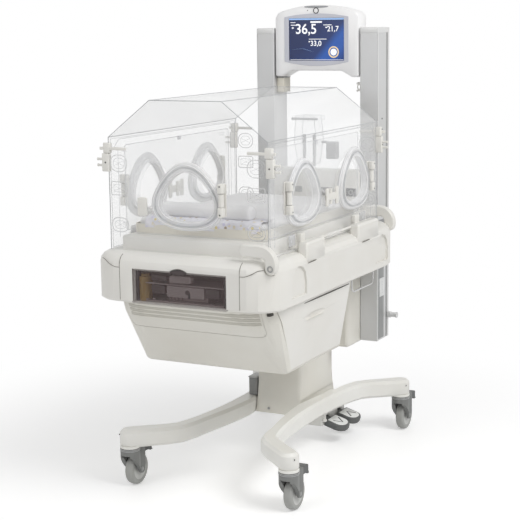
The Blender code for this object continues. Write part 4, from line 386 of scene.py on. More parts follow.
# Near-black as painted shade: a tube and a box laid in the belly's top gap and corner notch, where there is
# only shade.
SLOT_PAINTED_SHADE = finish("dark_slot", (0.075, 0.07, 0.062), 0.75)
SEAM = finish("seam_shadow", (0.17, 0.16, 0.14), 0.80)
PALE_MAUVE = finish("pale_mauve_moulding", (0.40, 0.345, 0.345), 0.42)
DARK_MAUVE = finish("dark_mauve_moulding", (0.06, 0.045, 0.045), 0.40)
BEZEL = finish("bezel_lavender", (0.60, 0.61, 0.68), 0.35)
LENS = finish("grey_lens", (0.36, 0.37, 0.39), 0.18)


def lit(name, colour, strength):
    """A part of the display that gives its own light."""
    material = finish(name, colour, 0.25, grain=0.00001)
    shader = material.node_tree.nodes["Principled BSDF"]
    shader.inputs["Emission Color"].default_value = (*colour, 1)
    shader.inputs["Emission Strength"].default_value = strength
    return material


def display_blue():
    """Navy that turns royal blue towards the lower right: a ramp along the slope x - 0.9 z."""
    material = lit("display_blue", (0.01, 0.03, 0.12), 0.5)
    nodes, links = material.node_tree.nodes, material.node_tree.links
    shader = nodes["Principled BSDF"]
    place = next(node for node in nodes if node.type == "TEX_COORD")
    slope = nodes.new("ShaderNodeVectorMath")
    slope.operation = "DOT_PRODUCT"
    slope.inputs[1].default_value = (1.0, 0.0, -0.9)
    links.new(place.outputs["Object"], slope.inputs[0])
    ramp = nodes.new("ShaderNodeValToRGB")
    reach = nodes.new("ShaderNodeMapRange")
    reach.inputs["From Min"].default_value = -1.40
    reach.inputs["From Max"].default_value = -1.08
    links.new(slope.outputs["Value"], reach.inputs["Value"])
    links.new(reach.outputs["Result"], ramp.inputs["Fac"])
    stops = ((0.0, (0.003, 0.012, 0.060)), (0.40, (0.004, 0.014, 0.070)), (0.66, (0.006, 0.022, 0.105)),
             (0.76, (0.012, 0.070, 0.30)), (0.88, (0.012, 0.070, 0.30)), (1.0, (0.006, 0.035, 0.17)))
    ramp.color_ramp.elements[0].position = stops[0][0]
    ramp.color_ramp.elements[0].color = (*stops[0][1], 1)
    ramp.color_ramp.elements[1].position = stops[-1][0]
    ramp.color_ramp.elements[1].color = (*stops[-1][1], 1)
    for at, colour in stops[1:-1]:
        ramp.color_ramp.elements.new(at).color = (*colour, 1)
    links.new(ramp.outputs["Color"], shader.inputs["Base Color"])
    links.new(ramp.outputs["Color"], shader.inputs["Emission Color"])
    return material


def printed_cotton():
    """White cotton with small pastel dots: cells of a Voronoi pattern, coloured near their centres."""
    material = finish("printed_cotton", (0.80, 0.795, 0.85), 0.88, grain=0.0004, grain_scale=1400.0)
    nodes, links = material.node_tree.nodes, material.node_tree.links
    shader = nodes["Principled BSDF"]
    place = next(node for node in nodes if node.type == "TEX_COORD")
    base = shader.inputs["Base Color"].links[0].from_socket
    cells = nodes.new("ShaderNodeTexVoronoi")
    cells.inputs["Scale"].default_value = 62.0
    links.new(place.outputs["Object"], cells.inputs["Vector"])
    spot = nodes.new("ShaderNodeValToRGB")
    spot.color_ramp.elements[0].position = 0.26
    spot.color_ramp.elements[0].color = (1, 1, 1, 1)
    spot.color_ramp.elements[1].position = 0.34
    spot.color_ramp.elements[1].color = (0, 0, 0, 1)
    links.new(cells.outputs["Distance"], spot.inputs["Fac"])
    tint = nodes.new("ShaderNodeValToRGB")
    tint.color_ramp.interpolation = "CONSTANT"
    tint.color_ramp.elements[0].color = (0.74, 0.62, 0.26, 1)
    tint.color_ramp.elements[1].position = 0.75
    tint.color_ramp.elements[1].color = (0.42, 0.33, 0.24, 1)
    tint.color_ramp.elements.new(0.35).color = (0.66, 0.64, 0.80, 1)
    tint.color_ramp.elements.new(0.55).color = (0.78, 0.70, 0.52, 1)
    split = nodes.new("ShaderNodeSeparateColor")
    links.new(cells.outputs["Color"], split.inputs["Color"])
    links.new(split.outputs["Red"], tint.inputs["Fac"])
    mix = nodes.new("ShaderNodeMix")
    mix.data_type = "RGBA"
    links.new(spot.outputs["Color"], mix.inputs["Factor"])
    links.new(base, mix.inputs["A"])
    links.new(tint.outputs["Color"], mix.inputs["B"])
    links.new(mix.outputs["Result"], shader.inputs["Base Color"])
    return material


SCREEN = display_blue()
PRINT = printed_cotton()
LIT_WHITE = lit("display_white", (0.9, 0.92, 0.95), 0.35)
LIT_SKY = lit("display_sky", (0.30, 0.48, 0.80), 0.35)
LIT_SAND = lit("display_sand", (0.80, 0.62, 0.38), 0.3)

LOOKS = {
    "base_frame": (BEAM, "beam_white"), "column_sleeve": (IVORY, "ivory"),
    "lift_column": (STEEL, "column_steel"), "pedal_housing": (BEAM, "mid_grey"),
    "pedal_down": (PEDAL, "pedal_grey"), "pedal_up": (PEDAL, "pedal_grey"),
    "belly_housing": (IVORY, "ivory"), "front_drawer": (IVORY, "ivory"),
    "side_drawer": (WHITE, "warm_white"), "tray_housing": (WHITE, "warm_white"),
    "water_reservoir": (AMBER, "amber"), "filter_cover": (MAUVE, "mauve"),
    "filter_knob": (RUBBER_AND_SHADE, "mid_grey"), "chamber_shelf": (MAUVE, "mauve"),
    "tilt_lever_front": (WHITE, "warm_white"), "tilt_lever_rear": (WHITE, "warm_white"),
    "bed_carrier": (WHITE, "warm_white"), "mattress_tray": (CREAM, "cream"),
    "mast_right": (MAST, "mast_grey"), "mast_left": (MAST, "mast_grey"),
    "monitor": (CASE, "warm_white"), "screen": (SCREEN, "screen"), "monitor_button": (CASE, "mast_grey"),
    "rear_bulkhead": (WHITE, "warm_white"), "rear_housing": (IVORY, "ivory"),
    "cable_bail": (STEEL, "column_steel"),
}
for corner in ("fl", "fr", "rl", "rr"):
    LOOKS["caster_" + corner + "_fork"] = (DARK, "mid_grey")
    LOOKS["caster_" + corner + "_brake"] = (PEDAL, "mid_grey")
for node, (look, slot) in LOOKS.items():
    dress(node, look)
for node in ("hood_shell", "side_panel_right", "side_panel_left", "inner_wall_right", "inner_wall_left",
             "sensor_pod", "port_door_front", "port_door_right_near", "port_door_right_far",
             "port_door_left_near", "port_door_left_far"):
    keep(node, CLEAR)
keep("humidifier_door", SMOKE)


# Hood: edge lines of the clear walls, corner clips and grommets

HOOD_X, HOOD_ROOF_X = 0.2636, 0.1191
HOOD_FOOT_Z, HOOD_SHOULDER_Z, HOOD_ROOF_Z = 0.7706, 1.1039, 1.2145
HOOD_END_Y = 0.802
EDGE_INSET = 0.0013
HOOD_BAR, FINE_BAR = 0.0012, 0.0008
PANEL_X, PANEL_RIM_X, INNER_WALL_X = 0.2625, 0.2590, 0.2376
PANEL_LOW, PANEL_HIGH = (0.0115, 0.7745), (0.7905, 1.0968)
INNER_WALL_LOW, INNER_WALL_HIGH = (0.0508, 0.8208), (0.6992, 1.0772)
PANEL_RIM = ((0.0258, 1.0710), (0.0529, 1.0935), (0.7491, 1.0935), (0.7762, 1.0710))
PANEL_RIB_Y = (0.046, 0.756)
PANEL_RIB_Z = (0.800, 1.060)


def hood_section(y, inset=EDGE_INSET):
    """The six-sided section as a path from foot to foot."""
    half, roof = HOOD_X - inset, HOOD_ROOF_X - inset / 2
    corners = [(half, HOOD_FOOT_Z), (half, HOOD_SHOULDER_Z - inset / 2), (roof, HOOD_ROOF_Z - inset),
               (-roof, HOOD_ROOF_Z - inset), (-half, HOOD_SHOULDER_Z - inset / 2), (-half, HOOD_FOOT_Z)]
    return [(x, y, z) for x, z in corners]


def loop_x(x, low, high, corner, count=5):
    """Closed rounded rectangle in a plane of constant x; low and high are (y, z)."""
    half = ((high[0] - low[0]) / 2, (high[1] - low[1]) / 2)
    ring = rounded_ring(half[0], half[1], corner, count)
    return placed(ring[:, 0] + low[0] + half[0], ring[:, 1] + low[1] + half[1], np.full(len(ring), x), "x")


def loop_y(y, low, high, corner, count=5):
    """Closed rounded rectangle in a plane of constant y; low and high are (x, z)."""
    half = ((high[0] - low[0]) / 2, (high[1] - low[1]) / 2)
    ring = rounded_ring(half[0], half[1], corner, count)
    return placed(ring[:, 0] + low[0] + half[0], ring[:, 1] + low[1] + half[1], np.full(len(ring), y), "y")


def make_hood_edges():
    """Bars on the corners of the hood's section and round its side walls: tubes along straight runs."""
    ends = []
    for y in (EDGE_INSET, HOOD_END_Y - EDGE_INSET):
        ends.append(tube(hood_section(y), EDGE_INSET, up=(0, 1, 0), count=8))
    form("hood_end_edges", ends, "upper", EDGE)
    long_edges = []
    for corner in hood_section(0)[1:5]:
        x, z = corner[0], corner[2]
        long_edges.append(tube([(x, EDGE_INSET, z), (x, HOOD_END_Y - EDGE_INSET, z)], HOOD_BAR, count=8))
    form("hood_long_edges", long_edges, "upper", EDGE)
    for name, side in (("right", RIGHT), ("left", LEFT)):
        outer = loop_x(side * PANEL_X, PANEL_LOW, PANEL_HIGH, 0.004)
        rim = [(side * PANEL_RIM_X, y, z) for y, z in PANEL_RIM]
        grids = [tube(outer, FINE_BAR, up=(1, 0, 0), count=6), tube(rim, 0.0009, up=(1, 0, 0), count=6)]
        for y in PANEL_RIB_Y:
            rib = [(side * PANEL_RIM_X, y, z) for z in PANEL_RIB_Z]
            grids.append(tube(rib, FINE_BAR, up=(0, 1, 0), count=6))
        form("panel_edges_" + name, grids, "panel_" + name, FAINT)
        wall = loop_x(side * INNER_WALL_X, INNER_WALL_LOW, INNER_WALL_HIGH, 0.009)
        tab = side_box(side, (0.2372, 0.366, 1.066), (0.2425, 0.384, 1.0785), 0.003, 0.001, "x")
        form("inner_wall_edges_" + name, [tube(wall, 0.0011, up=(1, 0, 0), count=6), tab],
             "panel_" + name, FAINT)


HOOD_ENDS = (("front", 0.0, -1), ("rear", HOOD_END_Y, 1))
CLIP_PEG_Z = (1.0380, 1.0200)
CLIP_PEG_PROFILE = ((0, 0.276), (0.0036, 0.276), (0.0036, 0.2975), (0.0044, 0.2985), (0.0044, 0.3015),
                    (0, 0.3020))
CLIP_SCREW_Z = 1.0290


def make_corner_clips():
    """Moulded latches that wrap the hood's four upright corners, each with a bar and two pegs."""
    for end, edge, out in HOOD_ENDS:
        for name, side in (("right", RIGHT), ("left", LEFT)):
            y0, y1 = sorted((edge + out * 0.0060, edge - out * 0.0098))
            body = side_box(side, (0.2580, y0, 1.0020), (0.2835, y1, 1.0560), 0.004, 0.003)
            head = side_box(side, (0.2540, y0, 1.0570), (0.2790, y1, 1.0870), 0.005, 0.003)
            b0, b1 = sorted((edge + out * 0.0008, edge + out * 0.0056))
            bar = side_box(side, (0.2000, b0, 1.0660), (0.2900, b1, 1.0750), 0.002, 0.0015, "x")
            pegs = []
            for z in CLIP_PEG_Z:
                profile = [(r, side * x) for r, x in CLIP_PEG_PROFILE]
                pegs.append(lathe(profile, (0, edge - out * 0.002, z), "x", 14))
            corner = end + "_" + name
            form("corner_clip_" + corner, [body, head, bar] + pegs, "upper", WHITE)
            head_in, head_out = edge + out * 0.0058, edge + out * 0.0066
            screw = [lathe([(0, side * 0.2838), (0.0024, side * 0.2838), (0.0026, side * 0.2832)],
                           (0, edge - out * 0.002, CLIP_SCREW_Z), "x", 12),
                     lathe([(0, head_out), (0.0024, head_out), (0.0026, head_in)],
                           (side * 0.2700, 0, CLIP_SCREW_Z), "y", 12)]
            form("clip_screws_" + corner, screw, "upper", RUBBER_AND_SHADE)


GROMMETS = ((1.0030, 1.0520, 0.022), (0.9340, 0.9730, 0.006), (0.8250, 0.8662, 0.019))
GROMMET_X = (0.1990, 0.2545)
GROMMET_RIM = 0.009


def make_grommets():
    """Tube grommets beside each upright corner: a rounded frame, a thin inner one and two crossed bars."""
    for end, edge, out in HOOD_ENDS:
        for name, side in (("right", RIGHT), ("left", LEFT)):
            frames, inserts = [], []
            for low, high, corner in GROMMETS:
                x0, x1 = ordered(side, *GROMMET_X)
                y = edge + out * 0.0016
                ring = loop_y(y, (x0, low), (x1, high), corner, 7)
                frames.append(tube(ring, 0.0015, up=(0, 1, 0), count=8))
                rim = GROMMET_RIM
                inner = loop_y(y, (x0 + rim, low + rim), (x1 - rim, high - rim),
                               max(corner - 0.008, 0.002), 5)
                inserts.append(tube(inner, 0.0007, up=(0, 1, 0), count=6))
                middle = (low + high) / 2
                for lean in (-0.008, 0.008):
                    spoke = [(x0 + 0.010, y, middle + lean), (x1 - 0.010, y, middle - lean)]
                    inserts.append(tube(spoke, 0.0005, up=(0, 1, 0), count=6))
            form("grommet_frames_" + end + "_" + name, frames, "upper", GROMMET)
            form("grommet_inserts_" + end + "_" + name, inserts, "upper", FAINT)


# Hand ports

UP_OF = {"front": (0, 1, 0), "right": (1, 0, 0), "left": (1, 0, 0)}
PORT_Z = 0.935
NEAR_PORT_Y, FAR_PORT_Y = 0.220, 0.598
PORTS = (
    ("front", "front", (0.005, 0.0, PORT_Z), 1, "upper"),
    ("right_near", "right", (HOOD_X, NEAR_PORT_Y, PORT_Z), -1, "panel_right"),
    ("right_far", "right", (HOOD_X, FAR_PORT_Y, PORT_Z), 1, "panel_right"),
    ("left_near", "left", (-HOOD_X, NEAR_PORT_Y, PORT_Z), 1, "panel_left"),
    ("left_far", "left", (-HOOD_X, FAR_PORT_Y, PORT_Z), -1, "panel_left"),
)
CUFF_BORE, CUFF_RIM = (0.088, 0.0725), (0.1155, 0.099)
CUFF_PROFILE = ((0, -0.0098), (0, 0.0090), (0.02, 0.0104), (0.07, 0.0113), (0.15, 0.0115), (0.40, 0.0112),
                (0.46, 0.0094), (0.54, 0.0092), (0.60, 0.0106), (0.86, 0.0104), (0.94, 0.0090),
                (0.985, 0.0066), (1.0, 0.0040), (1.0, 0.0005), (0.355, 0.0005), (0.355, -0.0098),
                (0, -0.0098))
# Darker lines on each cuff are painted shade: streaks where the translucent ring looks shaded at its bore and
# across its face.
CUFF_SHADE_LINES = ((0.0885, 0.0730, -0.0100, 0.0007), (0.1017, 0.0857, -0.0094, 0.0007))
# Beads on each cuff, whiter and more opaque than the ring: moulded beads that carry painted highlights on its
# rims.
CUFF_HIGHLIGHT_BEADS = ((0.1150, 0.0985, -0.0035, 0.0013), (0.0890, 0.0735, -0.0110, 0.0015),
              (0.1080, 0.0920, -0.0112, 0.0010), (0.0885, 0.0730, 0.0090, 0.0012))
DOOR_RIMS = ((0.0994, 0.0849, -0.0124, 0.0007), (0.0994, 0.0849, -0.0152, 0.0007))
HINGE_OFFSET = 0.117
HINGE_HALF_WIDE, HINGE_HALF_TALL, HINGE_PIN_Y = 0.010, 0.0475, -0.0150
HINGE_PIN = ((0, -0.024), (0.0025, -0.024), (0.0025, 0.024), (0, 0.024))
SLEEVE_PROFILE = ((0.0072, -0.0187), (0.0082, -0.0183), (0.0082, 0.0183), (0.0072, 0.0187),
                  (0.0072, -0.0187))


def egg_bars(rows, side, centre, count):
    """Tubes on egg outlines: each row is half width, half height, stand-off and bar radius."""
    bars = []
    for wide, tall, out, radius in rows:
        path = egg_ring(wide, tall)
        path = placed(path[:, 0], path[:, 1], np.full(len(path), out), "y")
        bars.append(tube(turned_to(path, side, centre), radius, up=UP_OF[side], count=count))
    return bars


def make_ports():
    """Five hand ports: the cuff on its frame with darker lines as painted shade streaks and whiter beads as
    painted highlights, the hinge block and the door's rim.
    """
    for name, side, centre, hinge, body in PORTS:
        cuff = turned_to(egg_skin(CUFF_PROFILE, CUFF_BORE, CUFF_RIM), side, centre)
        ring = form("cuff_" + name, [cuff], body, CUFF, smooth=50)
        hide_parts("port_frame_" + name)
        form("cuff_lines_" + name, egg_bars(CUFF_SHADE_LINES, side, centre, 6), body, CLEAR_GREY_AND_SHADE)
        form("cuff_beads_" + name, egg_bars(CUFF_HIGHLIGHT_BEADS, side, centre, 8), body, CUFF_HIGHLIGHT_WHITE)
        x, tall = hinge * HINGE_OFFSET, HINGE_HALF_TALL
        x0, x1 = x - HINGE_HALF_WIDE, x + HINGE_HALF_WIDE
        grids = [soft_box((x0, -0.0060, -tall), (x1, -0.0009, tall), 0.004, 0.0015, "y"),
                 lathe(HINGE_PIN, (x, HINGE_PIN_Y, 0), "z", 12)]
        for low, high in ((-tall, -0.0200), (0.0200, tall)):
            grids.append(soft_box((x0, -0.0262, low), (x1, -0.0050, high), 0.0075, 0.003, "z"))
        block = [turned_to(grid, side, centre) for grid in grids]
        form("hinge_block_" + name, block, body, WHITE)
        head = [(0, -0.0268), (0.0022, -0.0268), (0.0026, -0.0258), (0, -0.0255)]
        screws = [turned_to(lathe(head, (x, 0, z), "y", 12), side, centre) for z in (-0.0405, 0.0405)]
        form("hinge_screws_" + name, screws, body, RUBBER_AND_SHADE)
        sleeve = lathe(SLEEVE_PROFILE, (x, HINGE_PIN_Y, 0), "z", 24)
        form("door_sleeve_" + name, [turned_to(sleeve, side, centre)], "door_" + name, WHITE)
        form("door_rim_" + name, egg_bars(DOOR_RIMS, side, centre, 6), "door_" + name, EDGE)


LATCH_Y, LATCH_Z = 0.409, 0.905
LATCHES = (
    ("front", "front", (-0.142, 0, LATCH_Z), 0.016),
    ("right", "right", (HOOD_X, LATCH_Y, LATCH_Z), 0.046),
    ("left", "left", (-HOOD_X, LATCH_Y, LATCH_Z), 0.046),
)
LATCH_HUB = ((0, -0.024), (0.0058, -0.024), (0.0058, 0.024), (0, 0.024))
THUMB_WIDTH = 0.019


def make_latches():
    """Press latches: a bar on the hub, with a ribbed thumb block at each end."""
    for name, side, centre, half in LATCHES:
        grids = [soft_box((-half, -0.0135, -0.011), (half, -0.0095, 0.011), 0.004, 0.001, "y"),
                 lathe(LATCH_HUB, (0, -0.0064, 0), "z", 16)]
        spans = ((-half, -half + THUMB_WIDTH), (half - THUMB_WIDTH, half))
        if half < THUMB_WIDTH:
            spans = ((-half, half),)
        for low, high in spans:
            grids.append(soft_box((low, -0.0149, -0.0275), (high, -0.0092, 0.0275), 0.006, 0.002, "y"))
            for z in np.linspace(-0.018, 0.018, 7):
                rib = [(low + 0.004, -0.0146, z), (high - 0.004, -0.0146, z)]
                grids.append(tube(rib, 0.0008, count=6))
        latch = form("press_latch_" + name, [turned_to(grid, side, centre) for grid in grids],
                     "latch_" + name, WHITE)
        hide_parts("port_latch_" + name)


make_hood_edges()
make_corner_clips()
make_grommets()
make_ports()
make_latches()


# Body tray: seams, lever screws and the humidifier bay

TRAY_X, TRAY_FRONT, TRAY_CORNER = 0.305, -0.058, 0.085
TRAY_TOP, TRAY_FOOT = 0.770, 0.625
SHOULDER_HEIGHT, SHOULDER_DEPTH = 0.034, 0.040
SEAM_RADIUS = 0.0008
SEAM_X = 0.1986
SEAM_WAVE = ((SEAM_X, 0.7290), (0.2150, 0.7300), (0.2340, 0.7370), (0.2520, 0.7470), (0.2680, 0.7500))
LEVER_X, LEVER_Z = 0.287, 0.754
LEVER_RING = ((0.0062, 0.0002), (0.0090, 0.0002), (0.0094, 0.0012), (0.0088, 0.0024), (0.0066, 0.0024),
              (0.0062, 0.0012), (0.0062, 0.0002))
LEVER_CAP = ((0, 0.0020), (0.0034, 0.0016), (0.0046, 0.0002))
CATCH_SLOTS = ((0.168, 0.226), (0.575, 0.636))
RAIL_POSTS = ((0.176, 0.204), (0.580, 0.612))
PANEL_STOPS = ((0.120, 0.160), (0.640, 0.690))
STOP_BUTTON_Y = (0.1330, 0.6650)


def tray_face(x, z):
    """The near face of the tray: y from the corner circle and the elliptic shoulder."""
    x, z = np.asarray(x, float), np.asarray(z, float)
    rise = np.clip((z - (TRAY_TOP - SHOULDER_HEIGHT)) / SHOULDER_HEIGHT, 0, 1)
    inset = SHOULDER_DEPTH * (1 - np.sqrt(1 - rise ** 2))
    radius = TRAY_CORNER - inset
    over = np.clip(np.abs(x) - (TRAY_X - TRAY_CORNER), 0, None)
    y = TRAY_FRONT + TRAY_CORNER - np.sqrt(np.clip(radius ** 2 - over ** 2, 1e-8, None))
    return np.stack([x, y, z], axis=-1)


def make_tray_seams():
    """Seams on the tray's near face, an upright and a wave on each side, and the levers' rings and caps."""
    seams = []
    for side in (RIGHT, LEFT):
        z = np.linspace(TRAY_FOOT + 0.0075, TRAY_TOP - 0.0045, 24)
        upright = tray_face(np.full(24, side * SEAM_X), z)
        seams.append(tube(upright, SEAM_RADIUS, up=(1, 0, 0), count=6))
        wave = curve_through(SEAM_WAVE, 6)
        seams.append(tube(tray_face(side * wave[:, 0], wave[:, 1]), SEAM_RADIUS, up=(0, 1, 0), count=6))
    form("tray_seams", seams, "upper", SEAM)
    for name, y, out in (("front", -0.0410, -1), ("rear", 0.8680, 1)):
        place = (LEVER_X, y, LEVER_Z)
        ring = lathe([(radius, out * depth) for radius, depth in LEVER_RING], place, "y", 24)
        head = lathe([(radius, out * depth) for radius, depth in LEVER_CAP], place, "y", 20)
        form("lever_cap_" + name, [head], "lever_" + name, WHITE)
        form("lever_ring_" + name, [ring], "lever_" + name, GREY)


def make_pads():
    """Shadow slots under the panel catches, the rail's end posts and the clear stops beside them."""
    slots = []
    for name, side in (("right", RIGHT), ("left", LEFT)):
        posts, stops, marks = [], [], []
        for low, high in CATCH_SLOTS:
            path = np.stack([np.full(8, side * 0.3062), np.linspace(low, high, 8),
                             np.linspace(0.7392, 0.7402, 8)], axis=-1)
            radius = np.array([0.0006] + [0.0014] * 6 + [0.0006])
            slots.append(tube(path, radius, up=(1, 0, 0), count=8))
        for low, high in RAIL_POSTS:
            posts.append(side_box(side, (0.2665, low, 0.7960), (0.2800, high, 0.8230), 0.003, 0.002, "x"))
            middle = (low + high) / 2 - 0.004
            line = [(side * 0.2802, middle, 0.803), (side * 0.2802, middle, 0.818)]
            posts.append(tube(line, 0.0009, up=(0, 1, 0), count=6))
        for low, high in PANEL_STOPS:
            stops.append(side_box(side, (0.2660, low, 0.7905), (0.2695, high, 0.8230), 0.003, 0.001, "x"))
        button = [(0, side * 0.2700), (0.0042, side * 0.2700), (0.0042, side * 0.2692)]
        for y in STOP_BUTTON_Y:
            marks.append(lathe(button, (0, y, 0.805), "x", 16))
        form("rail_posts_" + name, posts, "panel_" + name, WHITE)
        form("panel_stops_" + name, stops, "panel_" + name, FAINT)
        form("stop_buttons_" + name, marks, "panel_" + name, CLEAR_GREY_AND_SHADE)
    form("catch_slots", slots, "upper", SEAM)


def rib_pack(low, high, count, radius, y):
    """Horizontal ribs: tubes spread evenly between two heights."""
    heights = np.linspace(low[1], high[1], count)
    return [tube([(low[0], y, z), (high[0], y, z)], radius, count=6) for z in heights]


BAY_KNOB = ((0, -0.0465), (0.0066, -0.0465), (0.0074, -0.0450), (0.0074, -0.0430))
LENS_HALF, LENS_Y = 0.0270, -0.0586


def make_humidifier():
    """What shows through the smoked door, in front of the solids behind it, and the door's finger grip."""
    form("bay_side_strips", [soft_box((-0.1492, -0.0480, 0.6325), (-0.1405, -0.0300, 0.7210), 0.001, 0.0005),
                             soft_box((0.1420, -0.0480, 0.6325), (0.1492, -0.0300, 0.7210), 0.001, 0.0005)],
         "upper", RUBBER_AND_SHADE)
    shelf = [soft_box((-0.1400, -0.0460, 0.6862), (0.1410, -0.0360, 0.6884), 0.0008, 0.0005),
             soft_box((-0.1400, -0.0460, 0.6385), (-0.1030, -0.0400, 0.6400), 0.0006, 0.0004),
             soft_box((-0.0960, -0.0470, 0.6865), (-0.0870, -0.0440, 0.6905), 0.0008, 0.0005),
             soft_box((-0.0940, -0.0470, 0.6395), (-0.0850, -0.0440, 0.6435), 0.0008, 0.0005)]
    form("bay_shelf_lines", shelf, "upper", PALE_MAUVE)
    upper = [soft_box((-0.0380, -0.0450, 0.6930), (0.0330, -0.0250, 0.7130), 0.006, 0.002, "y")]
    upper += rib_pack((-0.030, 0.6965), (0.026, 0.7090), 4, 0.0011, -0.0452)
    lower = [soft_box((-0.0480, -0.0440, 0.6500), (0.0760, -0.0300, 0.6825), 0.005, 0.002, "y")]
    lower += rib_pack((-0.044, 0.6545), (0.008, 0.6785), 6, 0.0011, -0.0442)
    lower += rib_pack((0.036, 0.6545), (0.070, 0.6785), 6, 0.0011, -0.0442)
    form("bay_ribbed_blocks", upper + lower, "upper", PALE_MAUVE)
    dark = [soft_box((0.0800, -0.0440, 0.6560), (0.1250, -0.0300, 0.6820), 0.002, 0.001, "y"),
            soft_box((-0.0980, -0.0440, 0.6580), (-0.0540, -0.0300, 0.6820), 0.002, 0.001, "y"),
            soft_box((-0.0980, -0.0440, 0.6950), (-0.0480, -0.0300, 0.7100), 0.004, 0.001, "y"),
            soft_box((-0.0600, -0.0455, 0.6408), (0.0950, -0.0435, 0.6432), 0.0008, 0.0005, "y"),
            lathe(BAY_KNOB, (0.0214, 0, 0.6670), "y", 20)]
    form("bay_dark_fittings", dark, "upper", DARK_MAUVE)
    form("bay_floor_tray", [soft_box((-0.1400, -0.0460, 0.6325), (0.1410, -0.0300, 0.6370), 0.001, 0.0008)],
         "upper", PALE_MAUVE)
    x = np.linspace(-LENS_HALF, LENS_HALF, 17)
    bulge = 1 - (x / LENS_HALF) ** 2
    lens = np.stack([x, np.full(17, LENS_Y), 0.7270 + 0.0058 * bulge], axis=-1)
    low = np.stack([x, np.full(17, LENS_Y), 0.7245 - 0.0052 * bulge], axis=-1)
    back = np.array([0, 0.0009, 0])
    form("door_finger_lens", [np.stack([low + back, low, lens, lens + back, low + back])], "humidifier_door",
         DARK_MAUVE)
    lip = np.stack([x, np.full(17, LENS_Y - 0.0002), 0.7272 + 0.0060 * bulge], axis=-1)
    form("door_finger_lip", [tube(lip, 0.0007, up=(0, 1, 0), count=6)], "humidifier_door", RUBBER_AND_SHADE)


make_tray_seams()
make_pads()
make_humidifier()


# Monitor

def ring_plate(outer, inner, front, back):
    """A plate between two closed outlines with as many points: front and back faces and both walls."""
    rings = [placed(outline[:, 0], outline[:, 1], np.full(len(outline), y), "y")
             for outline, y in ((outer, back), (outer, front), (inner, front), (inner, back), (outer, back))]
    return np.stack(rings)


def bowed_frame(half_wide, low, high, bow_low, bow_high, count=16):
    """Rectangle whose top and bottom bulge by a parabola, 1 - (x / half)^2."""
    s = np.linspace(-1, 1, count)
    top = np.stack([half_wide * -s, high + bow_high * (1 - s ** 2)], axis=-1)
    bottom = np.stack([half_wide * s, low - bow_low * (1 - s ** 2)], axis=-1)
    return np.concatenate([bottom, top, bottom[:1]])


TEXT_Y = 0.9009
DIAL_PLACE = (0.0640, 0, 1.3270)
DIAL_BACK_Y = 0.9006
BUTTON_RING = ((0.0078, 0.8998), (0.0102, 0.8998), (0.0102, 0.8986), (0.0094, 0.8978), (0.0082, 0.8980),
               (0.0078, 0.8998))


def make_digits(name, words, size, left, base, look):
    """Plain figures from the built-in font, made a mesh, then stood up in front of the screen."""
    curve = bpy.data.curves.new(name, "FONT")
    curve.body = words
    curve.size = size
    curve.extrude = 0.0001
    curve.offset = size * 0.012
    holder = bpy.data.objects.new(name + "_curve", curve)
    bpy.context.scene.collection.objects.link(holder)
    bpy.context.view_layer.update()
    mesh = bpy.data.meshes.new_from_object(holder.evaluated_get(bpy.context.evaluated_depsgraph_get()))
    bpy.data.objects.remove(holder, do_unlink=True)
    place = Matrix.Translation((left, TEXT_Y + NEAR_PANEL_Y, base))
    mesh.transform(place @ Matrix.Rotation(math.radians(90), 4, "X"))
    mesh.name = name
    item = bpy.data.objects.new(name, mesh)
    bpy.context.scene.collection.objects.link(item)
    return settle(item, "upper", look, smooth=20)


def bar(x0, x1, z0, z1, y=TEXT_Y):
    """A thin plate in front of the screen."""
    return soft_box((x0, y - 0.0002, z0), (x1, y, z1), 0.0006, 0.0001, "y", 2)


